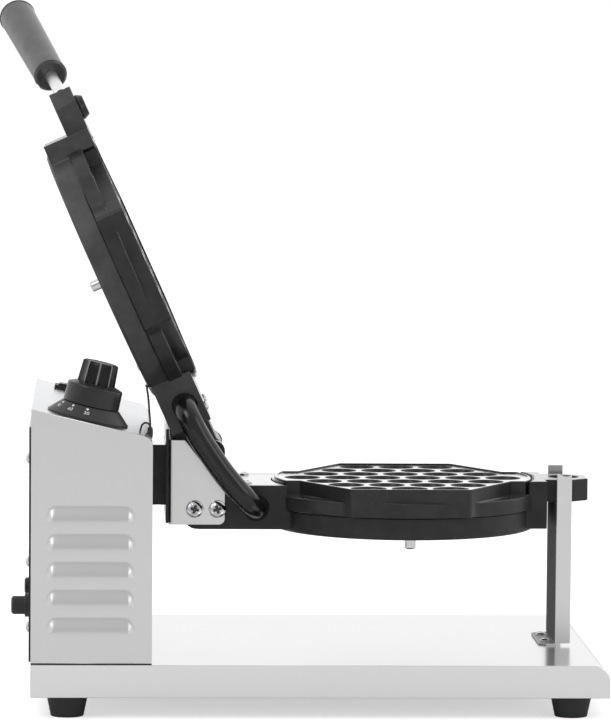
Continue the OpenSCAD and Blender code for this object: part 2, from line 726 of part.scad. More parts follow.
module switch_housing() color(black) switch_place() difference() {
  union() {
    translate([-switch_l / 2, -switch_w / 2, 0]) cube([switch_l, switch_w, switch_frame_h]);
    translate([-switch_l / 2 + switch_rim + slip, -switch_w / 2 + switch_rim + slip, -switch_depth])
      cube([switch_l - 2 * switch_rim - 2 * slip, switch_w - 2 * switch_rim - 2 * slip, switch_depth + 1]);
    for (x = [-8, 0, 8]) translate([x - 0.4, -2.5, -switch_depth - 8]) cube([0.8, 5, 9]);
  }
  difference() {
    translate([-switch_l / 2 + switch_rim + 1, -switch_w / 2 + switch_rim + 1, -rocker_drop - 14])
      cube([switch_l - 2 * switch_rim - 2, switch_w - 2 * switch_rim - 2, 30]);
    translate([0, 0, -rocker_drop]) bar_y(-switch_w / 2 + 1, switch_w / 2 - 1, rocker_pin_d);
  }
}

// Rocker with a face that is hollowed like a shallow V
module switch_rocker() color(black) switch_place() translate([0, 0, -rocker_drop])
  rotate([0, -rocker_travel / 2, 0]) difference() {
    rocker_half = switch_l / 2 - switch_rim - 2.4;
    rocker_end = rocker_face + rocker_half * tan(rocker_travel / 4);
    across(-switch_w / 2 + switch_rim + 1.4, switch_w / 2 - switch_rim - 1.4) polygon([
      [-rocker_half, -5], [rocker_half, -5], [rocker_half, rocker_end],
      [0, rocker_face], [-rocker_half, rocker_end]
    ]);
    bar_y(-switch_w, switch_w, rocker_pin_d + 2 * run_gap);
  }

// ---------- neck, stop plate and hinge bracket ----------

module bolt_pattern(d) for (side = [-1, 1], z = neck_bolt_z)
  translate([0, side * neck_bolt_y, z]) bar_x(90, 120, d);

module neck() color(black) seat() difference() {
  block(box_l, stop_x0, neck_w / 2, neck_z0, neck_z1);
  difference() {
    block(box_l - 1, stop_x0 + 1, neck_w / 2 - neck_t, neck_z0 + neck_t, neck_z1 - neck_t);
    bolt_pattern(neck_bolt_d + 8);
  }
  bolt_pattern(neck_bolt_d + 2 * screw_gap);
  difference() {
    block(box_l - 1, stop_x0 + 1, neck_w, neck_line - 0.3, neck_line + 0.3);
    block(box_l - 2, stop_x0 + 2, neck_w / 2 - 0.4, neck_z0 - 1, neck_z1 + 1);
  }
}

module neck_bolts() color(bright) seat() for (side = [-1, 1], z = neck_bolt_z)
  translate([stop_x1 + bracket_t, side * neck_bolt_y, z]) rotate([0, 90, 0]) difference() {
    pan_screw(11, 3.6, neck_bolt_d, stop_x1 + bracket_t - box_l + box_t + 7);
    translate([0, 0, 1.6]) cylinder(h = 4, d = 5, $fn = 6);
  }

module neck_nuts() color(bright) seat() for (side = [-1, 1], z = neck_bolt_z)
  translate([box_l - box_t - 5, side * neck_bolt_y, z]) rotate([0, 90, 0])
    hex_nut(10, 5, neck_bolt_d);

module neck_screws() color(black) seat() for (side = [-1, 1])
  translate([box_l, side * 30, neck_z0 - 10]) rotate([0, 90, 0]) pan_screw(6, 1.4, 2.8, 5);

module stop_plate() color(black) seat() difference() {
  block(stop_x0, stop_x1, stop_w / 2, stop_z0, stop_z1);
  bolt_pattern(neck_bolt_d + 2 * screw_gap);
  translate([0, 0, (neck_z0 + neck_z1) / 2]) bar_x(90, 120, cable_hole_d);
}

module cheek_outline() difference() {
  polygon([
    [stop_x1, bracket_z0], [bracket_end, bracket_z0], [bracket_end, bracket_chamfer[1]],
    [bracket_chamfer[0], bracket_z1], [stop_x1, bracket_z1]
  ]);
  translate([bracket_end, bracket_z0]) rotate(90) corner_waste(5);
}

// Plan of the bracket, shrunk by g: straight cheeks and a web with rounded bends
module bracket_plan(g) {
  side = cheek_y + bracket_t - g;
  r = bracket_r - g;
  translate([stop_x1 + g, -side + r]) square([bracket_end, 2 * (side - r)]);
  translate([stop_x1 + g + r, -side]) square([bracket_end, 2 * side]);
  for (end = [-1, 1]) translate([stop_x1 + g + r, end * (side - r)]) circle(r);
}

module hinge_bracket() color(bright) seat() difference() {
  intersection() {
    translate([0, 0, bracket_z0]) linear_extrude(bracket_z1 - bracket_z0) difference() {
      bracket_plan(0);
      bracket_plan(bracket_t);
    }
    across(-cheek_y - bracket_t - 1, cheek_y + bracket_t + 1) cheek_outline();
  }
  bolt_pattern(neck_bolt_d + 2 * screw_gap);
  translate([0, 0, (neck_z0 + neck_z1) / 2]) bar_x(90, 120, cable_hole_d);
  for (x = bracket_screw_x) translate([x, 0, bracket_screw_z])
    bar_y(-100, 100, bracket_screw_d + 2 * screw_gap);
}

module bracket_screws() color(bright) seat() for (x = bracket_screw_x, side = [-1, 1])
  translate([x, side * (cheek_y + bracket_t), bracket_screw_z]) rotate([-side * 90, 0, 0])
    crossed_screw(bracket_head_d, 4, bracket_screw_d, 16);

module hinge_pin() color("silver") seat() translate([hinge_x, 0, hinge_h]) {
  bar_y(-arm_w / 2 + 0.8, arm_w / 2 - 0.8, pin_d);
  for (side = [-1, 1]) translate([0, side * (arm_w / 2 - 0.8), 0]) rotate([-side * 90, 0, 0])
    cylinder(h = 0.8, d1 = pin_d, d2 = pin_d - 1.6);
}

// ---------- castings ----------

module disc_at(r, z0, z1) translate([disc_x, 0, z0]) cylinder(h = z1 - z0, r = r, $fn = 128);

// Round pan with a rounded bottom edge
module pan() translate([disc_x, 0, 0]) rotate_extrude($fn = 128) {
  translate([0, -pan_depth]) square([pan_d / 2 - pan_r, pan_depth - pan_top]);
  translate([0, -pan_depth + pan_r]) square([pan_d / 2, pan_depth - pan_r - pan_top]);
  translate([pan_d / 2 - pan_r, -pan_depth + pan_r]) circle(pan_r);
}

// Slim end of an arm with its two corners cut off
module slim_end() translate([0, 0, -tip_t]) linear_extrude(tip_t + plate_top) polygon([
  [lug_x - eps, -tip_w / 2], [tip_x - tip_cut, -tip_w / 2], [tip_x, -tip_nose / 2],
  [tip_x, tip_nose / 2], [tip_x - tip_cut, tip_w / 2], [lug_x - eps, tip_w / 2]
]);

// Arm, pan, lug and slim end shared by both castings; the arm begins at x0 with its top at -face
module casting_body(x0, half_y, face) difference() {
  union() {
    difference() {
      union() {
        block(x0, disc_x - 40, half_y, -cast_depth, -face);
        block(disc_x + 40, lug_x, lug_w / 2, -cast_depth, plate_top);
      }
      disc_at(wall_r, -pan_top, 10);
    }
    pan();
    slim_end();
  }
  disc_at(pan_d / 2 - cast_wall, -pan_depth + cast_wall, -pan_top + 1);
  // Wiring channel from the arm into the pan, and the seat of its cover
  block(channel_x0, disc_x - 90, channel_y, -cast_depth + cast_wall, 0);
  block(cover_x0 - slip, disc_x - 60, cover_y + slip, -face - cover_t, 0);
  // Bore for the tie stud
  translate([disc_x, -stud_y, -pan_depth - 1])
    cylinder(h = pan_depth, d = stud_d + 2 * screw_gap);
  for (side = [-1, 1]) translate([cover_screw[0], side * cover_screw[1], -face - 12])
    cylinder(h = 20, d = sheet_screw_d);
}

// Corner rounding along y for an outline in x and z
module arm_corner(x, z, turn, r, half_y) translate([x, 0, z]) across(-half_y - 1, half_y + 1)
  rotate(turn) corner_waste(r);

module hose_bore(s, depth, half_y) translate([s, 0, -depth]) {
  bar_y(-half_y - 1, -half_y + hose_bore_h, hose_bore_d);
  bar_y(-half_y, 0, hose_bore_d - 6);
}

module lower_casting() color(black) lower_frame() difference() {
  union() {
    difference() {
      casting_body(-ear_back, arm_w / 2, arm_face[0]);
      arm_corner(-ear_back, -cast_depth, 0, 12, arm_w / 2);
    }
    // Ears that carry the pin
    for (side = [-1, 1]) difference() {
      across(min(side * ear_in, side * arm_w / 2), max(side * ear_in, side * arm_w / 2))
        difference() {
          translate([-ear_back, -20]) square([ear_back + ear_front, 20 + hinge_drop + ear_top]);
          translate([-ear_back, hinge_drop + ear_top]) rotate(-90) corner_waste(ear_r);
          translate([ear_front, hinge_drop + ear_top]) rotate(180) corner_waste(ear_r);
        }
    }
  }
  translate([0, 0, hinge_drop]) bar_y(-100, 100, pin_d);
  for (x = bracket_screw_x, side = [-1, 1])
    translate([x - hinge_x, side * arm_w / 2 - 16, bracket_screw_z - mating_z]) bar_y(0, 32, bracket_screw_d);
  hose_bore(hose_s[0], hose_deep[0], arm_w / 2);
  // Passage for the wires that come through the neck
  translate([0, 0, -14]) bar_x(-ear_back - 1, channel_x0 + 1, 12);
  translate([peg_x, 0, plate_top - recess_h]) cylinder(h = recess_h + 1, d = recess_d);
}

module upper_casting() color(black) upper_frame() difference() {
  union() {
    casting_body(arm_start, arm_w / 2 - 0.4, arm_face[1]);
    // Tongue round the pin
    across(-tongue_y, tongue_y) {
      translate([0, -hinge_drop]) circle(tongue_r, $fn = 96);
      translate([0, -hinge_drop - tongue_r]) square([arm_start + 1, 2 * tongue_r - 2]);
      translate([0, -cast_depth]) square([arm_start + 1, 14]);
    }
    // Round-ended pad on the slim end's near corner
    intersection() {
      translate([tip_x - tip_cut, -tip_w / 2, -tip_t / 2])
        rotate([0, 0, atan2((tip_w - tip_nose) / 2, tip_cut)]) translate([pad_d / 2, 0, 0])
          rotate([90, 0, 0]) translate([0, 0, -0.5]) cylinder(h = pad_h + 0.5, d = pad_d);
      block(tip_x - tip_cut - 2 * pad_h, tip_x, tip_w / 2 + pad_h, -tip_t, plate_top);
    }
  }
  translate([0, 0, -hinge_drop]) bar_y(-100, 100, pin_d + 2 * run_gap);
  hose_bore(hose_s[1], hose_deep[1], arm_w / 2 - 0.4);
  // Way in for the probe lead
  translate([lead_s, lead_y, -pan_depth - 1]) cylinder(h = cast_wall + 5, d = lead_d + 2 * screw_gap);
  translate([clip_s, 0, -pan_depth - 1]) cylinder(h = cast_wall + 5, d = sheet_screw_d + 2 * screw_gap);
  handle_line() translate([0, 0, -rod_deep]) cylinder(h = rod_deep + 2 * rod_d, d = rod_d);
  translate([peg_x, 0, plate_top - recess_h]) cylinder(h = recess_h + 1, d = 6);
}

// ---------- grid plates ----------

// Hexagon with rounded corners and two round-ended tabs, shrunk by g
module hex_outline(g) {
  cut = hex_r * tan(30);
  far = [hex_side / 2 - cut, hex_w / 2 - g];
  near = [far[0] + (hex_r - g) * sin(60), hex_w / 2 - hex_r + (hex_r - g) * cos(60)];
  wing = [plate_corner[0] - g * tan(30), tab_y - g];
  polygon([
    [-wing[0], -wing[1]], [-near[0], -near[1]], [-far[0], -far[1]],
    [far[0], -far[1]], [near[0], -near[1]], [wing[0], -wing[1]],
    [wing[0], wing[1]], [near[0], near[1]], [far[0], far[1]],
    [-far[0], far[1]], [-near[0], near[1]], [-wing[0], wing[1]]
  ]);
  for (x = [-1, 1], y = [-1, 1]) translate([x * far[0], y * (hex_w / 2 - hex_r)]) circle(hex_r - g);
  intersection() {
    circle(hex_end_r - g, $fn = 128);
    square([disc_d, 2 * (tab_y - g)], center = true);
  }
}

// Centres of the thirty cavities in rows of 3, 4, 5, 6, 5, 4, 3 across the hexagon
row_counts = [3, 4, 5, 6, 5, 4, 3];
cavities = [
  for (row = [0 : 6], i = [0 : row_counts[row] - 1])
    [(i - (row_counts[row] - 1) / 2) * cavity_step, (row - 3) * row_step]
];

module grid_plate(half_y) translate([disc_x, 0, 0]) difference() {
  union() {
    difference() {
      union() {
        translate([0, 0, -pan_top]) cylinder(h = pan_top - hex_t, d = disc_d, $fn = 128);
        translate([0, 0, -pan_top]) linear_extrude(pan_top - hex_t) hex_outline(0);
      }
      // The flange is cut back beside the arm and the lug
      difference() {
        union() {
          block(-disc_d, -40, half_y + seat_gap, -50, 10);
          block(40, disc_d, lug_w / 2 + seat_gap, -50, 10);
        }
        translate([0, 0, -60]) cylinder(h = 80, r = flange_cut_r, $fn = 128);
      }
    }
    translate([0, 0, -hex_t - eps]) linear_extrude(hex_t + plate_top - lip_h + eps) hex_outline(0);
    translate([0, 0, plate_top - lip_h - eps]) linear_extrude(lip_h + eps) difference() {
      hex_outline(0);
      hex_outline(lip_w);
    }
    intersection() {
      difference() {
        translate([0, 0, -hex_t - eps]) cylinder(h = hex_t - 1.6, r = flange_cut_r - 0.2, $fn = 128);
        translate([0, 0, -hex_t - 1]) cylinder(h = hex_t + 5, r = hex_end_r + 0.6, $fn = 128);
      }
      block(-disc_d, -40, tab_y, -50, 10);
    }
  }
  for (c = cavities) translate([c[0], c[1], plate_top - lip_h + cavity_r - cavity_deep])
    sphere(cavity_r, $fn = 48);
  translate([0, -stud_y, -pan_top - 1]) cylinder(h = stud_deep + 1, d = stud_d);
}

module lower_grid_plate() color("dimgray") lower_frame() grid_plate(arm_w / 2);
module upper_grid_plate() color("dimgray") upper_frame() grid_plate(arm_w / 2 - 0.4);

// Open ring with two legs that reach into the arm's wiring channel
module heater() translate([disc_x, 0, -pan_top - heater_d / 2]) {
  end = [heater_r * cos(heater_open), heater_r * sin(heater_open)];
  rotate(180 + heater_open) rotate_extrude(angle = 360 - 2 * heater_open, $fn = 96)
    translate([heater_r, 0]) circle(d = heater_d, $fn = 32);
  for (side = [-1, 1]) translate([-end[0], side * end[1], 0]) {
    sphere(d = heater_d, $fn = 32);
    bar_x(-48, 0, heater_d);
    bar_x(-56, -47, 4);
  }
}
module lower_heater() color("sienna") lower_frame() heater();
module upper_heater() color("sienna") upper_frame() heater();

// Stud that holds the plate down on the pan, with a collar between the two
module tie_stud() translate([disc_x, -stud_y, 0]) {
  translate([0, 0, -pan_depth - stud_out + 1])
    cylinder(h = pan_depth + stud_out - 1 - pan_top + stud_deep, d = stud_d);
  translate([0, 0, -pan_depth - stud_out]) cylinder(h = 1 + eps, d1 = stud_d - 2, d2 = stud_d);
  translate([0, 0, -pan_depth + cast_wall])
    cylinder(h = pan_depth - cast_wall - pan_top, d = stud_boss_d);
}
module lower_tie_stud() color("silver") lower_frame() tie_stud();
module upper_tie_stud() color("silver") upper_frame() tie_stud();

// Sheet that closes the wiring channel and shines beside the hinge
module arm_cover(face) difference() {
  block(cover_x0, disc_x - 60, cover_y, -face - cover_t, -face);
  disc_at(wall_r + seat_gap, -50, 10);
  for (side = [-1, 1]) translate([cover_screw[0], side * cover_screw[1], -face - 5])
    cylinder(h = 10, d = sheet_screw_d + 2 * screw_gap);
}
module lower_arm_cover() color(bright) lower_frame() arm_cover(arm_face[0]);
module upper_arm_cover() color(bright) upper_frame() arm_cover(arm_face[1]);

module cover_screws(face) for (side = [-1, 1])
  translate([cover_screw[0], side * cover_screw[1], -face]) crossed_screw(cover_head_d, 2.8, sheet_screw_d, 9);
module lower_cover_screws() color(bright) lower_frame() cover_screws(arm_face[0]);
module upper_cover_screws() color(bright) upper_frame() cover_screws(arm_face[1]);

// Thermostat bulb held against the upper plate, with its neck over the lead's way in
module sensor_bulb() color("orange") upper_frame()
  translate([lead_s + 1, lead_y, -pan_top - bulb_d / 2]) {
    bar_x(0, bulb_l, bulb_d);
    sphere(d = bulb_d, $fn = 32);
  }

// Screw in the lid's back, beside the probe lead
module probe_clip_screw() color(bright) upper_frame()
  translate([clip_s, 0, -pan_depth]) rotate([180, 0, 0]) crossed_screw(6.5, 3, sheet_screw_d, 3.5);

module locating_peg() color("silver") upper_frame() translate([peg_x, 0, plate_top]) {
  translate([0, 0, -recess_h + 1]) cylinder(h = recess_h, d = 6);
  cylinder(h = 1.5, d = peg_d);
  translate([0, 0, 1.5 - eps]) cylinder(h = peg_h - 1.5, d1 = peg_d, d2 = peg_top_d);
}

// ---------- handle ----------

// Line of the handle: z runs out of the lid's end along the rod
module handle_line() translate([handle_root[0], handle_root[1], -handle_root[2]])
  rotate([0, 0, atan2(handle_dir[1], handle_dir[0])]) rotate([0, 90 + handle_rise, 0]) children();

module handle_rod() color("silver") upper_frame() handle_line()
  translate([0, 0, -rod_deep]) cylinder(h = rod_deep + handle_reach - rod_stop, d = rod_d);

module handle_grip() color(black) upper_frame() handle_line() difference() {
  slope = (handle_far_d - handle_near_d) / (handle_l - 2 * handle_edge);
  translate([0, 0, rod_free]) union() {
    cylinder(h = handle_edge + eps, d1 = handle_near_d - 2 * handle_edge, d2 = handle_near_d);
    translate([0, 0, handle_edge]) cylinder(h = handle_l - 2 * handle_edge, d1 = handle_near_d, d2 = handle_far_d);
    translate([0, 0, handle_l - handle_edge - eps])
      cylinder(h = handle_edge + eps, d1 = handle_far_d, d2 = handle_far_d - 2 * handle_edge);
  }
  translate([0, 0, rod_free - 1]) cylinder(h = handle_l - rod_stop + 1, d = rod_d);
}

// ---------- stand ----------

module stand() color(steel) seat() difference() {
  web_top = mating_z - tip_t;
  union() {
    block(stand_x, stand_x + stand_t, stand_w / 2 - stand_t, 0, web_top);
    for (side = [-1, 1])
      translate([stand_x, side * (stand_w - stand_t) / 2 - stand_t / 2, 2])
        cube([stand_flange, stand_t, stand_h - 2]);
    linear_extrude(stand_t) polygon([
      [stand_x + stand_t, -stand_w / 2 + stand_t], [stand_x + stand_t, stand_w / 2 - stand_t],
      [stand_x - stand_foot + 6, stand_w / 2 - stand_t], [stand_x - stand_foot, stand_w / 2 - 8],
      [stand_x - stand_foot, -stand_w / 2 + 8], [stand_x - stand_foot + 6, -stand_w / 2 + stand_t]
    ]);
  }
  // Hollow in the near flange's top
  translate([stand_x + stand_flange / 2 + 1.7, 0, stand_h + 7]) bar_y(-100, 0, 18);
  for (side = [-1, 1]) translate([stand_x - stand_foot / 2, side * stand_w / 4, -5])
    cylinder(h = 10, d = sheet_screw_d + 2 * screw_gap);
}

module stand_screws() color(bright) seat() for (side = [-1, 1])
  translate([stand_x - stand_foot / 2, side * stand_w / 4, stand_t]) crossed_screw(7.6, 2.6, sheet_screw_d, 7);

// ---------- hose and lead ----------

module wiring_hose() color(rubber) seat() swept_tube(hose_points, hose_d, 12);
module probe_lead() color("peru") seat() swept_tube(lead_points, lead_d, 8);
module slack_loop() color("peru") seat() swept_tube(loop_points, lead_d, 8);

module lead_sleeve() color(rubber) seat() translate([sleeve_x, sleeve_y, sleeve_z - 11]) {
  cylinder(h = 9, d = sleeve_d);
  translate([0, 0, 9 - eps]) cylinder(h = 2, d1 = sleeve_d, d2 = sleeve_d - 0.6);
}

base_tray();
bottom_plate();
tray_screws();
feet();
foot_bolts();
foot_nuts();
box_wrap();
near_side_panel();
far_side_panel();
box_seal();
box_screws();
rear_cover();
rear_cover_screws();
cable_gland();
gland_nut();
cutout_cap();
cutout_body();
terminal_block();
dial_scale();
thermostat_body();
thermostat_shaft();
temperature_knob();
switch_housing();
switch_rocker();
neck();
neck_bolts();
neck_nuts();
neck_screws();
stop_plate();
hinge_bracket();
bracket_screws();
hinge_pin();
lower_casting();
lower_grid_plate();
lower_heater();
lower_tie_stud();
lower_arm_cover();
lower_cover_screws();
upper_casting();
upper_grid_plate();
upper_heater();
upper_tie_stud();
upper_arm_cover();
upper_cover_screws();
sensor_bulb();
probe_clip_screw();
locating_peg();
handle_rod();
handle_grip();
stand();
stand_screws();
wiring_hose();
probe_lead();
slack_loop();
lead_sleeve();
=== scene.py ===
# %% [markdown]
# # Bubble-waffle iron, standing open
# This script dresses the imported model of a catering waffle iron. It stands open, with its lid
# leaning back over the control box. Each step is a pair of cells: a few words on what the piece is
# on the real machine, then the code that makes it.

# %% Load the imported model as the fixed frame
import json
import math

import bmesh
import bpy
from mathutils import Matrix, Vector

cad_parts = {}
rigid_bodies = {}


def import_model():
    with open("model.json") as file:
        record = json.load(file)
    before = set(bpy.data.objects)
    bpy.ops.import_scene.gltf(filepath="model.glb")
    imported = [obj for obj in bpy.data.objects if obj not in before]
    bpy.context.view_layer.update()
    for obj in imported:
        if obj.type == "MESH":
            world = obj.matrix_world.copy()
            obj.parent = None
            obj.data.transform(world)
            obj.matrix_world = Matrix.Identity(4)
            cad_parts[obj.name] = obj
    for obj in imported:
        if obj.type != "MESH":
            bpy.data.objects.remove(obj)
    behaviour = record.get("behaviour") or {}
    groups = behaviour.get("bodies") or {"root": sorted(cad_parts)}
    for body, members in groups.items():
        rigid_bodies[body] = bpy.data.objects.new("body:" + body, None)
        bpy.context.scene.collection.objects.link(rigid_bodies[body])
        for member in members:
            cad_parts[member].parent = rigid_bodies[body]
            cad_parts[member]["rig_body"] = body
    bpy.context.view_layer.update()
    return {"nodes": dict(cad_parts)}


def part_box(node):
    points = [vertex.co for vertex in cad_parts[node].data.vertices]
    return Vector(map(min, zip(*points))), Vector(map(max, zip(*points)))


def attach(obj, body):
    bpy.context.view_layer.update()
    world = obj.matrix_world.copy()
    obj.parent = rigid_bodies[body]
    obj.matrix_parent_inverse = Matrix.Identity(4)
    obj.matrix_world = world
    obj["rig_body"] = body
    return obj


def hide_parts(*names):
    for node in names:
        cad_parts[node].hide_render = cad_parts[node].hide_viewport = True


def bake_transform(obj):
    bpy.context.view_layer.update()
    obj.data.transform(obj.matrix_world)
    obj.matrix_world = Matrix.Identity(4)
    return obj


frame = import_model()

# %% [markdown]
# ## Places
# The machine's drawing counts millimetres from the tray's rear end and from the tray's top. Every
# object in the scene counts metres from the point on the table below the machine's middle. One
# small function turns the first into the second, so the numbers below stay readable.

# %% From the drawing's millimetres to the scene's metres
MM = 0.001
TRAY_TOP = 43.0                            # above the table
TRAY_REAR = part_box("base_tray")[0].x / MM  # x of the tray's rear end


def spot(x, y, z):
    return Vector(((x + TRAY_REAR) * MM, y * MM, (z + TRAY_TOP) * MM))


OPEN_ANGLE = 114.4     # degrees between the open lid's arm and the table
LEAN = math.radians(OPEN_ANGLE - 90)
HINGE = (138.6, 156.8)  # x and z of the pin


def lid_spot(along, across, out):
    """A place on the open lid: along its arm, across it, and out of its back, from the pin."""
    x = HINGE[0] - along * math.sin(LEAN) - out * math.cos(LEAN)
    z = HINGE[1] + along * math.cos(LEAN) - out * math.sin(LEAN)
    return spot(x, across, z)


print("tray's rear end is at", round(TRAY_REAR, 2), "mm")

# %% [markdown]
# ## Camera
# A long lens from nearly four metres away keeps the upright edges parallel, which is how a
# catalogue shows such a machine. The camera stands a little above the plates and looks slightly
# down, so that the tops of the plates and of the tray are just seen.

# %% The camera
CAMERA_SPOT = spot(54.67, -3696.9, 518.8)
LOOK = Vector((0.04505, 0.99596, -0.07772))
RIGHT = Vector((0.99898, -0.04455, 0.00808))
UP = Vector((-0.00458, 0.07800, 0.99695))

lens = bpy.data.cameras.new("camera")
lens.sensor_width = 36.0
lens.lens = 226.6
lens.clip_end = 50.0
camera = bpy.data.objects.new("camera", lens)
camera.matrix_world = Matrix.Translation(CAMERA_SPOT) @ Matrix(
    (RIGHT, UP, -LOOK)).transposed().to_4x4()
bpy.context.scene.collection.objects.link(camera)
bpy.context.scene.camera = camera
bpy.context.scene.view_settings.view_transform = "Standard"
print("camera stands", round(CAMERA_SPOT.length, 2), "m away")

# %% [markdown]
# ## Shader arithmetic
# A material is a small program of nodes. Written as plain sums and products it is far easier to
# read, so a wire between two nodes becomes an object on which +, - and * add the Math nodes.

# %% A wire that can be added and multiplied
class Wire:
    def __init__(self, mix, socket):
        self.mix, self.socket = mix, socket

    def math(self, operation, first, second):
        return self.mix.node("ShaderNodeMath", {"operation": operation}, {0: first, 1: second})

    def __add__(self, other):
        return self.math("ADD", self, other)

    def __radd__(self, other):
        return self.math("ADD", other, self)

    def __sub__(self, other):
        return self.math("SUBTRACT", self, other)

    def __rsub__(self, other):
        return self.math("SUBTRACT", other, self)

    def __mul__(self, other):
        return self.math("MULTIPLY", self, other)

    def __rmul__(self, other):
        return self.math("MULTIPLY", other, self)


print("wires can be added, subtracted and multiplied")

# %% [markdown]
# ## A finish
# `Nodes` holds the nodes of a material or of the world while they are being made. Its `node` adds
# any node: the settings come first, then the values or wires of the sockets. `Finish` is one
# material. The patterns that several finishes share, such as noise and relief, are its methods, and
# all of them read Object coordinates, which every piece has.

# %% The material maker
class Nodes:
    def __init__(self, owner):
        owner.use_nodes = True
        self.tree = owner.node_tree
        self.tree.nodes.clear()

    def node(self, kind, settings, sockets, output=0):
        made = self.tree.nodes.new(kind)
        for name, value in settings.items():
            setattr(made, name, value)
        for key, value in sockets.items():
            if isinstance(value, Wire):
                self.tree.links.new(value.socket, made.inputs[key])
            else:
                made.inputs[key].default_value = value
        return Wire(self, made.outputs[output]) if made.outputs else None


class Finish(Nodes):
    def __init__(self, name):
        self.material = bpy.data.materials.new(name)
        super().__init__(self.material)
        self.place = self.node("ShaderNodeTexCoord", {}, {}, "Object")

    def noise(self, size, stretch=(1, 1, 1), detail=2.0, turn=(0, 0, 0)):
        """Cloudy pattern with features of about `size` millimetres, drawn out by `stretch` along
        the axes. `turn` doesn't turn the features, but takes them from another part of the noise.
        """
        scale = [1 / (size * MM * s) for s in stretch]
        spread = self.node("ShaderNodeMapping", {}, {
            "Vector": self.place, "Rotation": [math.radians(a) for a in turn], "Scale": scale})
        return self.node("ShaderNodeTexNoise", {}, {
            "Vector": spread, "Scale": 1.0, "Detail": detail, "Roughness": 0.6}, 0)

    def band(self, value, low, high):
        """0 below `low`, 1 above `high` and a straight ramp between."""
        return self.node("ShaderNodeMapRange", {}, {
            "Value": value, "From Min": low, "From Max": high}, 0)

    def blend(self, share, first, second):
        """A colour between two others."""
        return self.node("ShaderNodeMix", {"data_type": "RGBA"}, {
            0: share, 6: rgba(first), 7: rgba(second)}, 2)

    def bump(self, height, depth):
        """Normal of a relief `depth` millimetres deep."""
        return self.node("ShaderNodeBump", {}, {
            "Height": height, "Distance": depth * MM, "Strength": 1.0})

    def slant(self, low, high):
        """0 where the surface faces the eye and 1 where it is seen edge-on, ramped in between."""
        facing = self.node("ShaderNodeLayerWeight", {}, {"Blend": 0.5}, 1)
        return self.band(facing, low, high)

    def done(self, sockets, share=None, edge_on=None):
        """The finished material. Where `share` is given, it goes over to the look `edge_on`."""
        shader = self.node("ShaderNodeBsdfPrincipled", {}, sockets)
        if share is not None:
            second = self.node("ShaderNodeBsdfPrincipled", {}, edge_on)
            shader = self.node("ShaderNodeMixShader", {}, {0: share, 1: shader, 2: second})
        self.node("ShaderNodeOutputMaterial", {}, {"Surface": shader})
        return self.material


def rgba(colour):
    return colour if isinstance(colour, Wire) else (*colour, 1.0)


def grey(level):
    return (level, level, level)


print("material maker ready")

# %% [markdown]
# ## Stainless sheet
# The tray, box, bracket and stand are folded from stainless sheet with a fine brushed grain. The
# grain shows as a slight streaking of the gloss, with a faint cloudiness where the sheet has been
# wiped and handled. The streaks run upright, so one noise is drawn out along z, and the sheets
# take their grain from two parts of it. Where the stand's sheet is seen edge-on, it goes over to a
# dull grey without gloss: painted shade.

# %% Brushed stainless
GRAIN, GRAIN_DRAWN_OUT, STREAK = 0.35, 80, 0.02
HERE, ELSEWHERE = (0, 0, 0), (0, 90, 0)


def brushed_steel(name, colour, roughness, grain_from, edge_on=None):
    mix = Finish(name)
    grain = mix.noise(GRAIN, (1, 1, GRAIN_DRAWN_OUT), 2.0, grain_from)
    clouds = mix.noise(60, (1, 1, 1), 3.0)
    dark, light = [[c * (1 + change) for c in colour] for change in (-STREAK, STREAK)]
    tone = mix.blend(grain, dark, light)
    rough = roughness + (grain - 0.5) * 0.08 + (clouds - 0.5) * 0.06
    sheet = {"Base Color": tone, "Metallic": 1.0, "Roughness": rough,
             "Normal": mix.bump(grain, 0.0006)}
    if edge_on is None:
        return mix.done(sheet)
    # Only the stand passes edge_on: seen edge-on, its sheet turns to a dull grey without gloss, a
    # painted shade.
    return mix.done(sheet, mix.slant(0.80, 0.90), {
        "Base Color": mix.blend(clouds, grey(edge_on * 0.8), grey(edge_on * 1.2)),
        "Roughness": 0.5, "Specular IOR Level": 0.0})


tray_steel = brushed_steel("tray stainless", (0.86, 0.86, 0.865), 0.20, ELSEWHERE)
box_steel = brushed_steel("box stainless", grey(0.80), 0.34, HERE)
wrap_steel = brushed_steel("wrap stainless", (0.81, 0.82, 0.85), 0.24, ELSEWHERE)
bracket_steel = brushed_steel("bracket stainless", grey(0.80), 0.30, HERE)
# The stand's sheet carries painted shade where it is seen edge-on.
stand_steel_painted_shade = brushed_steel("stand stainless with painted shade", grey(0.82), 0.30, HERE, 0.20)
cover_steel = brushed_steel("cover stainless", grey(0.88), 0.22, ELSEWHERE)
print("stainless finishes made")

# %% [markdown]
# ## Bright fittings
# Screws, the pin and the handle's rod are zinc-plated or polished. They are smoother than the sheet
# and a little darker in places where the plating has dulled.

# %% Bright plated steel
def plated(name, level, roughness):
    mix = Finish(name)
    dull = mix.band(mix.noise(2.5, (1, 1, 1), 3.0), 0.45, 0.8)
    tone = mix.blend(dull, grey(level), grey(level * 0.9))
    return mix.done({"Base Color": tone, "Metallic": 1.0, "Roughness": roughness + dull * 0.06})


screw_plate = plated("screw plating", 0.72, 0.13)
polished_rod = plated("polished rod", 0.93, 0.30)
print("bright finishes made")

# %% [markdown]
# ## Black castings
# The castings are aluminium with a black baked coating. It is a dark, slightly grainy paint that
# shines strongly where it is seen at a low angle, so the level tops of the machine look pale from
# the front. Fine grain in the paint and slow waves of the sand casting both go into the bump, and
# the low-angle shine is a second, mirror-like look mixed in by the surface's slant.

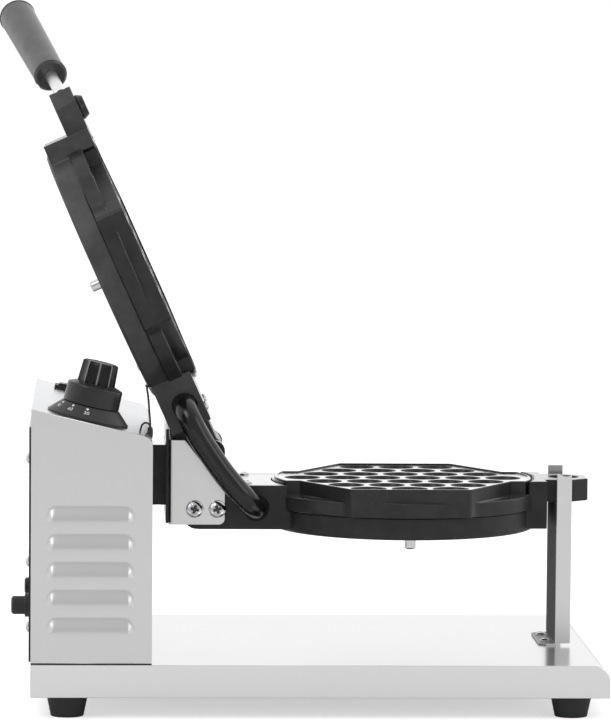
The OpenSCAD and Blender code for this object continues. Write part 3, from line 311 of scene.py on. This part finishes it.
# %% Baked black coating
def black_coating(name, level, roughness, grain_depth, specular, shine, shine_from=0.79):
    mix = Finish(name)
    fine = mix.noise(0.9, (1, 1, 1), 4.0)
    slow = mix.noise(14, (1, 1, 1), 2.0)
    tone = mix.blend(mix.band(slow, 0.35, 0.7), grey(level * 0.8), grey(level * 1.3))
    relief = mix.bump(fine * grain_depth + slow * (grain_depth * 3), 1.0)
    paint = {"Base Color": tone, "Roughness": roughness + (fine - 0.5) * 0.15,
             "Specular IOR Level": specular, "Normal": relief}
    mirror = {"Base Color": mix.blend(fine, grey(0.97), grey(0.90)), "Metallic": 1.0,
              "Roughness": 0.16}
    return mix.done(paint, mix.slant(shine_from, shine_from + 0.10) * shine, mirror)


casting_coat = black_coating("casting coating", 0.018, 0.38, 0.010, 0.35, 0.7)
# The lid wears a lighter copy of the castings' paint. Its higher level is painted light, because
# both castings carry the same coating.
lid_coat_painted_light = black_coating("lid coating with painted light", 0.045, 0.42, 0.014, 0.5, 0.45, 0.82)
plate_coat = black_coating("non-stick coating", 0.024, 0.34, 0.008, 0.35, 1.0)
bracket_black = black_coating("bracket paint", 0.021, 0.40, 0.004, 0.3, 1.0)
cover_black = black_coating("rear cover paint", 0.020, 0.42, 0.006, 0.4, 0.5)
peg_black = black_coating("peg blacking", 0.012, 0.30, 0.003, 0.4, 0.4)
print("black coatings made")

# %% [markdown]
# ## Plastics and rubber
# The knob is moulded phenolic plastic with a soft shine, the hose is glossy rubber, and the feet
# and the seal are dull rubber. All of them get a fine mottle, because a moulding is never quite
# even. The handle's grip shines at a low angle as the castings do, so it takes their recipe with
# hardly any relief.

# %% Moulded black
def moulded(name, level, roughness, specular=0.5):
    mix = Finish(name)
    mottle = mix.noise(1.6, (1, 1, 1), 3.0)
    tone = mix.blend(mottle, grey(level * 0.85), grey(level * 1.2))
    return mix.done({"Base Color": tone, "Roughness": roughness + (mottle - 0.5) * 0.1,
                     "Specular IOR Level": specular, "Normal": mix.bump(mottle, 0.004)})


knob_plastic = moulded("knob plastic", 0.022, 0.26, 0.45)
grip_plastic = black_coating("grip plastic", 0.058, 0.26, 0.002, 0.7, 0.5, 0.85)
scale_plastic = moulded("scale plastic", 0.034, 0.36, 0.35)
hose_rubber = moulded("hose rubber", 0.007, 0.20, 0.5)
foot_rubber = moulded("foot rubber", 0.028, 0.62, 0.35)
lead_sheath = moulded("lead sheath", 0.02, 0.4)
print("plastics made")

# %% [markdown]
# ## Parts inside
# Ceramic terminals, heat-tinted heater tube and the copper probe are hidden in the closed machine,
# but they are looked at when it is taken apart, so they get a finish of their own.

# %% Ceramic, heater tube and copper
def ceramic_glaze():
    mix = Finish("ceramic")
    pits = mix.noise(1.1, (1, 1, 1), 4.0)
    tone = mix.blend(pits, (0.72, 0.68, 0.58), (0.82, 0.79, 0.70))
    return mix.done({"Base Color": tone, "Roughness": 0.35 + pits * 0.2,
                     "Normal": mix.bump(pits, 0.02)})


def tinted_tube(name, cool, hot, metal_roughness):
    mix = Finish(name)
    heat = mix.band(mix.noise(18, (1, 1, 1), 3.0), 0.35, 0.65)
    return mix.done({"Base Color": mix.blend(heat, cool, hot), "Metallic": 1.0,
                     "Roughness": metal_roughness + heat * 0.15})


ceramic = ceramic_glaze()
heater_tube = tinted_tube("heater tube", (0.36, 0.33, 0.31), (0.24, 0.15, 0.11), 0.35)
probe_copper = tinted_tube("probe copper", (0.86, 0.52, 0.36), (0.62, 0.33, 0.2), 0.25)
print("inner finishes made")

# %% [markdown]
# ## Which node wears which finish
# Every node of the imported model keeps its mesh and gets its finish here. Nodes that later steps
# replace by a more detailed piece are in this table too, because an eased piece takes its finish
# from it.

# %% Dress the nodes
WEAR = {
    tray_steel: ["base_tray", "bottom_plate"],
    wrap_steel: ["box_wrap"],
    box_steel: ["near_side_panel", "far_side_panel"],
    bracket_steel: ["hinge_bracket"],
    stand_steel_painted_shade: ["stand"],
    cover_steel: ["lower_arm_cover", "upper_arm_cover"],
    screw_plate: [
        "tray_screws", "foot_bolts", "foot_nuts", "box_screws", "rear_cover_screws", "neck_bolts",
        "neck_nuts", "bracket_screws", "hinge_pin", "lower_tie_stud", "upper_tie_stud",
        "lower_cover_screws", "upper_cover_screws", "stand_screws", "thermostat_body",
        "thermostat_shaft", "probe_clip_screw"],
    peg_black: ["locating_peg"],
    polished_rod: ["handle_rod"],
    casting_coat: ["lower_casting"],
    lid_coat_painted_light: ["upper_casting"],
    plate_coat: ["lower_grid_plate", "upper_grid_plate"],
    bracket_black: ["neck", "neck_screws", "stop_plate"],
    cover_black: ["rear_cover"],
    knob_plastic: ["temperature_knob", "switch_rocker", "cutout_cap"],
    grip_plastic: ["handle_grip"],
    scale_plastic: ["dial_scale", "switch_housing", "cable_gland", "gland_nut"],
    hose_rubber: ["wiring_hose"],
    foot_rubber: ["feet", "box_seal"],
    lead_sheath: ["probe_lead", "slack_loop", "lead_sleeve"],
    ceramic: ["cutout_body", "terminal_block"],
    heater_tube: ["lower_heater", "upper_heater"],
    probe_copper: ["sensor_bulb"],
}
worn = {}
for finish, names in WEAR.items():
    for name in names:
        materials = frame["nodes"][name].data.materials
        materials.clear()
        materials.append(finish)
        worn[name] = finish
bare = sorted(set(frame["nodes"]) - set(worn))
print("dressed", len(worn), "nodes; without a finish:", bare)

# %% [markdown]
# ## Eased edges
# No real edge is perfectly sharp: castings are ground, sheet is deburred, and that thin rounded
# line is what catches the light. The node's mesh may not be changed, so a copy of it is merged,
# its flat faces are joined up again and a Bevel modifier rounds it. The copy then stands for the
# node.

# %% Copy a node with rounded edges
CORNER = 35        # degrees between two faces that meet in a corner and not in a curve
FLAT = 0.6         # degrees between two faces that are parts of one
EASE_SEGMENTS = 2
ROOM = 1.05        # an edge needs to be this many times as long as the rounding is wide


def body_of(node):
    return frame["nodes"][node]["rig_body"]


def smooth_object(name, mesh, finish, ease=0.0, corner=CORNER):
    """An object from a mesh, smooth except at its corners, which `ease` millimetres round off."""
    for polygon in mesh.polygons:
        polygon.use_smooth = True
    mesh.set_sharp_from_angle(angle=math.radians(corner))
    if mesh.materials:
        mesh.materials.clear()
    mesh.materials.append(finish)
    made = bpy.data.objects.new(name, mesh)
    bpy.context.scene.collection.objects.link(made)
    if ease:
        round_off = made.modifiers.new("ease", "BEVEL")
        round_off.width = ease * MM
        round_off.segments = EASE_SEGMENTS
        round_off.limit_method = "WEIGHT"
        round_off.use_clamp_overlap = False
        round_off.harden_normals = True
        level = made.modifiers.new("level", "WEIGHTED_NORMAL")
        level.keep_sharp = True
    return made


def weigh_edges(shape, ease, chosen=None):
    """Marks the corners that have room to be rounded: none that meets a shorter edge than that.
    `chosen` says of a corner whether it is rounded at all."""
    weight = shape.edges.layers.float.new("bevel_weight_edge")
    limit = math.radians(CORNER)
    corner = {e for e in shape.edges if len(e.link_faces) == 2 and e.calc_face_angle() > limit}
    tight = {v for e in shape.edges if e.calc_length() < ROOM * ease * MM for v in e.verts}
    for edge in corner:
        edge[weight] = 0.0 if tight & set(edge.verts) or (chosen and not chosen(edge)) else 1.0


def eased(node, ease, shape_first=None, chosen=None):
    """A copy of a node with its long corners rounded, which is shown instead of it. `shape_first`
    changes the copy before that."""
    shape = bmesh.new()
    shape.from_mesh(frame["nodes"][node].data)
    bmesh.ops.remove_doubles(shape, verts=shape.verts, dist=1e-6)
    bmesh.ops.dissolve_limit(shape, angle_limit=math.radians(FLAT), verts=shape.verts,
                             edges=shape.edges, delimit={"NORMAL"})
    if shape_first:
        shape_first(shape)
    weigh_edges(shape, ease, chosen)
    mesh = bpy.data.meshes.new(node + "_eased")
    shape.to_mesh(mesh)
    shape.free()
    made = smooth_object(node + "_eased", mesh, worn[node], ease)
    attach(made, body_of(node))
    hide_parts(node)


# %% Round the nodes, each by its own millimetres
EASE = {
    "base_tray": 0.5, "bottom_plate": 0.3, "box_wrap": 0.6, "hinge_bracket": 0.3, "stand": 0.4,
    "rear_cover": 0.4, "neck": 0.5, "stop_plate": 0.5, "lower_casting": 0.9, "upper_casting": 0.9,
    "lower_grid_plate": 0.7, "upper_grid_plate": 0.7, "lower_arm_cover": 0.3,
    "upper_arm_cover": 0.3, "handle_grip": 0.5, "dial_scale": 0.4, "switch_housing": 0.35,
    "switch_rocker": 0.5, "feet": 0.3, "cable_gland": 0.4, "locating_peg": 0.5, "cutout_cap": 0.3,
    "terminal_block": 0.4,
}
TIP_HEIGHT = 412  # above the table


def below_tip(edge):
    """False at the open lid's slim upper end, which has no room and keeps its cast edges."""
    return max(edge.verts[0].co.z, edge.verts[1].co.z) < TIP_HEIGHT * MM


for node, ease in EASE.items():
    eased(node, ease, chosen=below_tip if node == "upper_casting" else None)
print("eased", len(EASE), "nodes")

# %% [markdown]
# ## Louvres
# Each side of the box has five louvres, pressed out of the sheet: a soft bulge that opens downward.
# The side's own hoods are taken out of its copy. A fine grid takes their place, raised by a smooth
# curve that dies away to the top and to both ends, and a Solidify modifier gives it the sheet's
# thickness. The ends of each louvre are rounded off along an arc.

# %% The side sheets without their hoods
SIDE, SHEET, SHEET_EASE = 147.5, 0.8, 0.3
HAIR = 0.02  # faces further out than this belong to a hood
SKIN = 0.05  # corners no deeper than this are on the outer face


def without_hoods(shape):
    outside = [f for f in shape.faces if abs(f.calc_center_median().y) > (SIDE + HAIR) * MM]
    bmesh.ops.delete(shape, geom=outside, context="FACES")


def on_outer_face(edge):
    """True for the corners of the sheet's outer face."""
    middle = (edge.verts[0].co + edge.verts[1].co) / 2 / MM
    return abs(middle.y) > SIDE - SKIN


for node in ["near_side_panel", "far_side_panel"]:
    eased(node, SHEET_EASE, without_hoods, on_outer_face)
print("side sheets opened")


# %% The hoods
LOUVRES, LOUVRE_X, LOUVRE_Z, LOUVRE_STEP = 5, 46.8, 24.9, 22.1
LOUVRE_L, LOUVRE_H, LOUVRE_OUT = 70.5, 12.6, 3.4
LOUVRE_GRID = (72, 16)
END_ARC, END_RAMP = 8.5, 6.0    # the rounded ends, and how soon the bulge is full there
TOP_MIDDLE, TOP_END = 0.98, 0.01  # the bulge's top as a share of the height
FULLNESS = 0.75                 # below 1, the bulge swells out sooner on its way down
LIFT = 0.004                    # keeps the flat border just off the sheet


def rise(share):
    """Smooth step from 0 to 1."""
    share = min(max(share, 0), 1)
    return share * share * (3 - 2 * share)


def hood_depth(along, up):
    """How far a louvre stands out, `along` millimetres from its middle and `up` of its height."""
    past = max(0, abs(along) - LOUVRE_L / 2 + END_ARC) / END_ARC
    top = TOP_MIDDLE * math.sqrt(max(0, 1 - past * past)) + TOP_END
    ends = rise((LOUVRE_L / 2 - abs(along)) / END_RAMP)
    return LOUVRE_OUT * ends * rise(1.0 - up / top) ** FULLNESS + LIFT


def hoods(name, side):
    shape = bmesh.new()
    columns, rows = LOUVRE_GRID
    for count in range(LOUVRES):
        sheet = bmesh.ops.create_grid(shape, x_segments=columns, y_segments=rows, size=0.5)
        for point in sheet["verts"]:
            along, up = point.co.x * LOUVRE_L, point.co.y + 0.5
            height = LOUVRE_Z + count * LOUVRE_STEP + up * LOUVRE_H
            point.co = spot(LOUVRE_X + along, side * (SIDE + hood_depth(along, up)), height)
    bmesh.ops.recalc_face_normals(shape, faces=shape.faces)
    if shape.faces[0].normal.y * side < 0:
        bmesh.ops.reverse_faces(shape, faces=shape.faces)
    mesh = bpy.data.meshes.new(name)
    shape.to_mesh(mesh)
    border = [edge.index for edge in shape.edges if edge.is_boundary]
    shape.free()
    made = smooth_object(name, mesh, box_steel)
    for index in border:
        mesh.edges[index].use_edge_sharp = True
    wall = made.modifiers.new("wall", "SOLIDIFY")
    wall.thickness = SHEET * MM
    wall.offset = -1.0
    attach(made, "base")


hoods("near_hoods", -1)
hoods("far_hoods", 1)
print("louvres pressed:", 2 * LOUVRES)

# %% [markdown]
# ## Wiring hose
# A rubber hose carries the heater's wires past the hinge, from the side of the lid's arm to the
# side of the lower one. It is a soft tube, so it is drawn as a line with a thickness and made a
# mesh.

# %% A round tube along a line
RINGS_PER_STOP, TUBE_ROUNDNESS = 4, 6


def tube(name, stops, finish):
    """A tube along a smooth line. Each stop is a place and the radius there in millimetres."""
    line = bpy.data.curves.new(name, "CURVE")
    line.dimensions = "3D"
    line.resolution_u = RINGS_PER_STOP
    line.bevel_depth = MM
    line.bevel_resolution = TUBE_ROUNDNESS
    line.use_fill_caps = True
    route = line.splines.new("BEZIER")
    route.bezier_points.add(len(stops) - 1)
    for knot, (place, radius) in zip(route.bezier_points, stops):
        knot.co = place
        knot.radius = radius
        knot.handle_left_type = knot.handle_right_type = "AUTO"
    guide = bpy.data.objects.new(name + "_guide", line)
    bpy.context.scene.collection.objects.link(guide)
    mesh = bpy.data.meshes.new_from_object(
        guide.evaluated_get(bpy.context.evaluated_depsgraph_get()))
    mesh.name = name
    bpy.data.objects.remove(guide)
    return smooth_object(name, mesh, finish)


def stand_for(piece, *nodes):
    """The piece is shown instead of the nodes, which are hidden."""
    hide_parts(*nodes)
    return piece


print("tube maker ready")

# %% The hose
HOSE_R = 9.25
ARM_SIDE = -49
COLLAR = [(-42, 0), (-48.6, 0), (-49.4, 0.9), (-50.6, 0.5)]  # y, and how much wider it is there


def hose_on_lid(y):
    return lid_spot(43, y, -1.6)


def hose_on_base(y):
    return spot(181.1, y, 113.6)


hose_middle = [
    (122.9, -57, 195.2), (124.8, -63.5, 190.8), (127.8, -67, 184.6), (131.6, -68, 177.2),
    (136.2, -68, 169.2), (141.4, -68, 161.1), (147, -68, 153), (152.8, -68, 145),
    (158.8, -68, 137.4), (164.8, -67.4, 130.4), (170.4, -66, 124.2), (175.4, -62.8, 118.8),
    (179.2, -57, 115.2)]
hose_stops = (
    [(hose_on_lid(y), HOSE_R + wider) for y, wider in COLLAR]
    + [(spot(*place), HOSE_R) for place in hose_middle]
    + [(hose_on_base(y), HOSE_R + wider) for y, wider in reversed(COLLAR)])
hose = stand_for(tube("hose", hose_stops, hose_rubber), "wiring_hose")
HOSE_LID, HOSE_BASE = hose_on_lid(ARM_SIDE), hose_on_base(ARM_SIDE)
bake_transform(hose)
print("hose has", len(hose.data.vertices), "points")

# %% [markdown]
# ## Probe lead
# The thin lead of the temperature probe leaves the lid's back, goes down into a rubber sleeve and
# comes back in a small loop to the box. The sleeve is a drop of soft rubber: its outline is spun
# round the lead. The loop and the sleeve stay on the box.

# %% The lead and its loop
LEAD_R = 0.9
LOOP_R = LEAD_R * 0.85
lead_lid = [lid_spot(70, -40, 13.4), lid_spot(70, -40, 19.4), lid_spot(70, -40.4, 20.4)]
lead_middle = [
    (91.6, -42.4, 211.6), (91.8, -46, 210), (92.2, -52, 207.6), (92.7, -60, 203.9),
    (93.1, -70, 199.1), (93.4, -80, 194.3), (93.8, -90, 189.6), (94.0, -96, 186.6),
    (94.1, -99, 184.1)]
lead_route = lead_lid + [spot(*place) for place in lead_middle]
lead = stand_for(tube("lead", [(p, LEAD_R) for p in lead_route], lead_sheath), "probe_lead")
spot(94.9, -97, 187)
lid_spot(70, -42, 21.4)
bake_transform(lead)

loop_route = [spot(*place) for place in [
    (94.0, -99, 184.1), (93.4, -99.2, 185.7), (91.6, -99.6, 187.1), (89.8, -100, 187.3),
    (88, -100, 186.2), (86.9, -100, 184.2), (86.4, -100, 181.9), (86.2, -100, 178.6)]]
loop = stand_for(tube("loop", [(p, LOOP_R) for p in loop_route], lead_sheath), "slack_loop")
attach(loop, "base")
print("lead and loop laid")


# %% The sleeve
def spun(name, outline, axis_spot, finish, steps=24):
    """A turned piece: its outline of (radius, height) millimetres goes round an upright axis."""
    shape = bmesh.new()
    ring = [shape.verts.new((r * MM, 0, z * MM)) for r, z in outline]
    for first, second in zip(ring, ring[1:]):
        shape.edges.new((first, second))
    bmesh.ops.spin(shape, geom=shape.verts[:] + shape.edges[:], axis=(0, 0, 1), cent=(0, 0, 0),
                   angle=math.tau, steps=steps, use_merge=True, use_duplicate=False)
    bmesh.ops.remove_doubles(shape, verts=shape.verts, dist=1e-6)
    bmesh.ops.recalc_face_normals(shape, faces=shape.faces)
    bmesh.ops.translate(shape, verts=shape.verts, vec=axis_spot)
    mesh = bpy.data.meshes.new(name)
    shape.to_mesh(mesh)
    shape.free()
    return smooth_object(name, mesh, finish)


sleeve = stand_for(spun("sleeve", [
    (0, 11), (1.7, 10.8), (2.1, 9.6), (2.3, 7), (2.3, 5), (1.8, 2.6), (0.9, 0.6), (0, 0)],
    spot(94, -99, 173), lead_sheath), "lead_sleeve")
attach(sleeve, "base")
print("sleeve turned")

# %% [markdown]
# ## Knob
# The knob is a drum with a sloped shoulder and a fluted grip. The drum is an outline turned round
# its axis. The grip starts as a circle, drawn up in rings; nine hollows are pressed into it. The
# hollows get a darker copy of the plastic as painted shade, and the narrow ridges left between
# them a lighter, glossier one as a painted highlight.

# %% The dial's place and the drum
PANEL_TOP, PANEL_SLOPE = 202, math.radians(13.2)
DIAL_X, DIAL_Y = 45.5, -107
panel_frame = Matrix.Translation(spot(0, 0, PANEL_TOP)) @ Matrix.Rotation(PANEL_SLOPE, 4, "Y")
dial_frame = panel_frame @ Matrix.Translation(Vector((DIAL_X, DIAL_Y, 0)) * MM)


def place_on_dial(made):
    made.data.transform(dial_frame)
    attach(made, "knob")
    return made


drum_outline = [
    (18.8, 11.2), (22.1, 11.0), (22.5, 11.4), (22.42, 15.0), (22.3, 21.0), (22.2, 25.3),
    (22.05, 25.9), (21.6, 26.35), (21.0, 26.6), (18.5, 27.55), (16.2, 28.4), (15.5, 28.6),
    (11.0, 28.6)]
drum = place_on_dial(spun("knob_drum", drum_outline, Vector((0, 0, 0)), knob_plastic, 72))
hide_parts("temperature_knob")
print("drum turned")

# %% The fluted grip
FLUTES, POINTS_PER_FLUTE = 9, 16
GRIP_R, GRIP_FOOT, GRIP_TAPER = 15.35, 28, 0.055
FLUTE_DEPTH, RIDGE_EDGE, FLUTE_ROUNDNESS = 1.25, 0.09, 0.55
# Height of each ring, and how far it is drawn in: the first rounds the foot, the last two the top.
GRIP_LEVELS = [
    (28.0, 0.5), (28.6, 0.0), (34.0, 0.0), (40.0, 0.0), (44.6, 0.0), (45.3, 0.25), (45.7, 0.8)]
CAP_RIM, CAP_SINK = 1.2, 0.25
# The ridges' lighter plastic is a painted highlight: its width as a share of a flute, and the
# height where it starts.
HIGHLIGHT_WIDTH, HIGHLIGHT_FROM = 0.07, 28.6


def round_the_axis(point):
    """Part of a full circle by which a point is turned."""
    return math.atan2(point.y, point.x) / math.tau


def flute_share(turn):
    """Share of the way from one ridge to the next; one ridge points to the front."""
    return (turn * FLUTES + 0.25 * FLUTES) % 1.0


def grip_radius(turn, height, inset):
    across = (flute_share(turn) - RIDGE_EDGE) / (1 - 2 * RIDGE_EDGE)
    hollow = max(0.0, math.sin(math.pi * min(max(across, 0), 1))) ** FLUTE_ROUNDNESS
    return GRIP_R - (height - GRIP_FOOT) * GRIP_TAPER - FLUTE_DEPTH * hollow - inset


def fluted_grip():
    """A circle drawn up in rings, closed by a sunk cap; its ridges get the second material, a
    painted highlight.
    """
    shape = bmesh.new()
    rings = [bmesh.ops.create_circle(
        shape, segments=FLUTES * POINTS_PER_FLUTE, radius=1.0)["verts"]]
    edges = list(shape.edges)
    for _ in GRIP_LEVELS[1:]:
        grown = bmesh.ops.extrude_edge_only(shape, edges=edges)["geom"]
        edges = [e for e in grown if isinstance(e, bmesh.types.BMEdge) and len(e.link_faces) == 1]
        rings.append([v for v in grown if isinstance(v, bmesh.types.BMVert)])
    for (height, inset), ring in zip(GRIP_LEVELS, rings):
        for point in ring:
            turn = round_the_axis(point.co)
            radius = grip_radius(turn, height, inset)
            x, y = radius * math.cos(turn * math.tau), radius * math.sin(turn * math.tau)
            point.co = Vector((x, y, height)) * MM
    cap = bmesh.ops.contextual_create(shape, geom=edges)["faces"]
    bmesh.ops.inset_region(shape, faces=cap, thickness=CAP_RIM * MM, depth=-CAP_SINK * MM)
    bmesh.ops.recalc_face_normals(shape, faces=shape.faces)
    for face in shape.faces:
        middle = face.calc_center_median()
        share = flute_share(round_the_axis(middle))
        on_ridge = min(share, 1 - share) < HIGHLIGHT_WIDTH and middle.z > HIGHLIGHT_FROM * MM
        # ridge faces take the lighter plastic, a painted highlight
        if len(face.verts) == 4 and on_ridge:
            face.material_index = 1
    mesh = bpy.data.meshes.new("knob_grip")
    shape.to_mesh(mesh)
    shape.free()
    return mesh


# Two copies of the knob's plastic: a darker one on the flutes as painted shade, a lighter, glossier
# one on the ridges as painted highlight.
flute_painted_shade = moulded("flute plastic with painted shade", 0.006, 0.30, 0.3)
ridge_painted_highlight = moulded("ridge plastic with painted highlight", 0.20, 0.22, 0.6)
grip = place_on_dial(smooth_object("knob_grip", fluted_grip(), flute_painted_shade, corner=40))
grip.data.materials.append(ridge_painted_highlight)
print("grip drawn up with", FLUTES, "flutes")

# %% [markdown]
# ## Bracket screws
# Four large domed screws with a crossed recess hold the bracket. Each head is a fine grid rounded
# into a disc and raised into a dome, with the cross pressed into its middle. The deep part of the
# cross gets a dark plating as painted shade. A plain shank is behind it, inside the arm.

# %% Domed screws
HEAD_R, HEAD_H, RIM_H, HEAD_GRID = 7.25, 3.9, 0.5, 64
RIM_STEEPNESS, DOME_POWER = 20, 2.3
CROSS_HALF_W, CROSS_HALF_L, CROSS_DEPTH = 1.25, 3.5, 2.3
WALL_BESIDE, WALL_BEYOND = 0.5, 0.7   # width of the recess's walls along its arms and at their ends
PAINTED_SHADE_FROM = 0.55                      # share of the depth from which the recess looks dark
SHANK_R, SHANK_L = 3.9, 14
BRACKET_FACE, SCREW_Z = 50.8, 113
SCREWS = [(130.8, 14), (149.2, -17)]  # x, and the degrees by which the cross is turned
# A dark copy of the plating for the deep part of the cross recess: painted shade.
recess_painted_shade = plated("screw recess with painted shade", 0.10, 0.35)


def cross_share(x, y):
    """1 inside the crossed recess, 0 outside it and a steep wall between."""
    return max(
        rise((CROSS_HALF_W - abs(a)) / WALL_BESIDE) * rise((CROSS_HALF_L - abs(b)) / WALL_BEYOND)
        for a, b in [(x, y), (y, x)])


def domed_head(shape, x, cross_turn, side):
    """A square grid rounded into a disc and raised to a dome; it selects the recess's deep points,
    which get the painted shade.
    """
    cross = Matrix.Rotation(math.radians(cross_turn), 2)
    head = bmesh.ops.create_grid(shape, x_segments=HEAD_GRID, y_segments=HEAD_GRID, size=1.0)
    for point in head["verts"]:
        a = point.co.x * math.sqrt(1 - point.co.y * point.co.y / 2)
        b = point.co.y * math.sqrt(1 - point.co.x ** 2 / 2)
        away = min(math.hypot(a, b), 1.0)
        deep = cross_share(*(cross @ Vector((a, b)) * HEAD_R))
        rim = RIM_H * rise((1 - away) * RIM_STEEPNESS)
        high = rim + (HEAD_H - RIM_H) * (1 - away ** DOME_POWER) - CROSS_DEPTH * deep
        point.co = spot(x + a * HEAD_R, side * (BRACKET_FACE + high), SCREW_Z + b * HEAD_R)
        point.select = deep > PAINTED_SHADE_FROM


def shank(shape, x, side):
    made = bmesh.ops.create_cone(shape, cap_ends=True, segments=24, radius1=SHANK_R * MM,
                                 radius2=SHANK_R * MM, depth=SHANK_L * MM)["verts"]
    bmesh.ops.rotate(shape, verts=made, matrix=Matrix.Rotation(math.radians(90), 3, "X"))
    bmesh.ops.translate(shape, verts=made,
                        vec=spot(x, side * (BRACKET_FACE - SHANK_L / 2), SCREW_Z))


shape = bmesh.new()
for side in (-1, 1):
    for x, cross_turn in SCREWS:
        domed_head(shape, x, cross_turn, side)
        shank(shape, x, side)
bmesh.ops.recalc_face_normals(shape, faces=shape.faces)
for face in shape.faces:
    middle = face.calc_center_median()
    if abs(middle.y) > BRACKET_FACE * MM and face.normal.y * middle.y < 0:
        face.normal_flip()
    # faces deep in the recess take the dark plating, a painted shade
    if len(face.verts) == 4 and all(v.select for v in face.verts):
        face.material_index = 1
mesh = bpy.data.meshes.new("domed_screws")
shape.to_mesh(mesh)
shape.free()
domed_screws = smooth_object("domed_screws", mesh, screw_plate, corner=60)
domed_screws.data.materials.append(recess_painted_shade)
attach(domed_screws, "base")
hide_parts("bracket_screws")
print("domed screws made")

# %% [markdown]
# ## Marks on the scale
# The dial's black skirt carries a dot for every thirty degrees of heat and the number below it,
# printed in white paint. Numbers are flat text made into a mesh and laid on the cone; dots are thin
# discs. Both stand a few hundredths of a millimetre proud, as print does.

# %% Print
def print_paint():
    mix = Finish("scale print")
    wear = mix.noise(0.5, (1, 1, 1), 3.0)
    tone = mix.blend(mix.band(wear, 0.55, 0.8), grey(0.86), grey(0.62))
    return mix.done({"Base Color": tone, "Roughness": 0.45 + (wear - 0.5) * 0.2})


scale_print = print_paint()
SCALE_RIM_R, SCALE_RIM_Z = 23, 10.6
SCALE_TILT = math.atan2(9.5, 9.4)      # the cone's side from upright
PROUD = 0.03
MARKS, MARK_WORTH = 9, 30
first_mark, mark_step = math.radians(-95), math.radians(-29.2)  # clockwise round the dial
DOT_R, DOT_BELOW_RIM = 1.05, 2.4
NUMBER_SIZE, NUMBER_BELOW_RIM = 4.6, 6.6


def on_scale(angle, below_rim):
    """Frame of a place on the cone: x runs round it, y up its side and z out of it."""
    radius = SCALE_RIM_R + below_rim * math.sin(SCALE_TILT) + PROUD
    height = SCALE_RIM_Z - below_rim * math.cos(SCALE_TILT)
    outward = Matrix.Rotation(angle, 4, "Z") @ Matrix.Translation(Vector((radius, 0, height)) * MM)
    upright = Matrix.Rotation(math.radians(90), 4, "Z") @ Matrix.Rotation(math.radians(90), 4, "X")
    return dial_frame @ outward @ upright @ Matrix.Rotation(-SCALE_TILT, 4, "X")


shape = bmesh.new()
for count in range(MARKS):
    angle = first_mark + count * mark_step
    dot = bmesh.ops.create_circle(shape, cap_ends=True, segments=20, radius=DOT_R * MM)["verts"]
    bmesh.ops.transform(shape, verts=dot, matrix=on_scale(angle, DOT_BELOW_RIM))
    letters = bpy.data.curves.new("number", "FONT")
    letters.body = str(MARK_WORTH * (count + 1))
    letters.size = NUMBER_SIZE * MM
    letters.align_x, letters.align_y = "CENTER", "CENTER"
    guide = bpy.data.objects.new("number", letters)
    bpy.context.scene.collection.objects.link(guide)
    flat = bpy.data.meshes.new_from_object(
        guide.evaluated_get(bpy.context.evaluated_depsgraph_get()))
    bpy.data.objects.remove(guide)
    flat.transform(on_scale(angle, NUMBER_BELOW_RIM))
    shape.from_mesh(flat)
scale_marks_mesh = bpy.data.meshes.new("scale_marks")
shape.to_mesh(scale_marks_mesh)
shape.free()
scale_marks = smooth_object("scale_marks", scale_marks_mesh, scale_print)
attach(scale_marks, "base")
print("scale printed with", len(scale_marks_mesh.polygons), "faces")

# %% [markdown]
# ## Floor and light
# The machine stands on a white floor that runs into a white surround. The surround is bright
# above and behind, and dimmer in front, so that flat black faces stay black and edges seen at a low
# angle catch the light. The camera itself sees an even white: for its rays alone the floor glows
# and the whole surround is bright.

# %% The floor
FLOOR_SIZE = 30
PAPER, GLOW = 0.8, 0.55
bpy.ops.mesh.primitive_plane_add(size=FLOOR_SIZE)
floor = bpy.context.object
floor.name = "floor"


def floor_finish():
    mix = Finish("white floor")
    camera_ray = mix.node("ShaderNodeLightPath", {}, {}, "Is Camera Ray")
    paper = mix.node("ShaderNodeBsdfDiffuse", {}, {"Color": rgba(grey(PAPER))})
    glow = mix.node("ShaderNodeEmission", {}, {"Color": rgba(grey(1)), "Strength": GLOW})
    seen = mix.node("ShaderNodeAddShader", {}, {0: paper, 1: glow})
    both = mix.node("ShaderNodeMixShader", {}, {0: camera_ray, 1: paper, 2: seen})
    mix.node("ShaderNodeOutputMaterial", {}, {"Surface": both})
    return mix.material


floor.data.materials.append(floor_finish())
print("floor laid")

# %% The surround
DIM, BRIGHT = 0.50, 1.0
DIM_AT, BRIGHT_AT = -0.75, 0.15  # y of a direction: -1 is straight towards the camera
world = bpy.data.worlds.new("surround")
bpy.context.scene.world = world
sky = Nodes(world)
direction = sky.node("ShaderNodeTexCoord", {}, {}, "Generated")
backward = sky.node("ShaderNodeSeparateXYZ", {}, {0: direction}, "Y")
level = sky.node("ShaderNodeMapRange", {}, {
    "Value": backward, "From Min": DIM_AT, "From Max": BRIGHT_AT, "To Min": DIM, "To Max": BRIGHT})
camera_ray = sky.node("ShaderNodeLightPath", {}, {}, "Is Camera Ray")
strength = sky.node("ShaderNodeMix", {}, {0: camera_ray, 2: level, 3: BRIGHT})
light = sky.node("ShaderNodeBackground", {}, {"Color": rgba(grey(1)), "Strength": strength})
sky.node("ShaderNodeOutputWorld", {}, {"Surface": light})
print("surround set")


# %% The lamps
def soft_lamp(name, where, aim, size, power):
    light = bpy.data.lights.new(name, "AREA")
    light.shape = "RECTANGLE"
    light.size, light.size_y = size
    light.energy = power
    lamp = bpy.data.objects.new(name, light)
    lamp.location = where
    lamp.rotation_euler = (Vector(aim) - Vector(where)).to_track_quat("-Z", "Y").to_euler()
    bpy.context.scene.collection.objects.link(lamp)


soft_lamp("key lamp", (-1.6, -1.6, 2.0), (0, 0, 0.25), (1.2, 1.2), 14)
soft_lamp("fill lamp", (1.9, -1.2, 1.4), (0, 0, 0.2), (1.0, 1.4), 6)
print("lamps set")
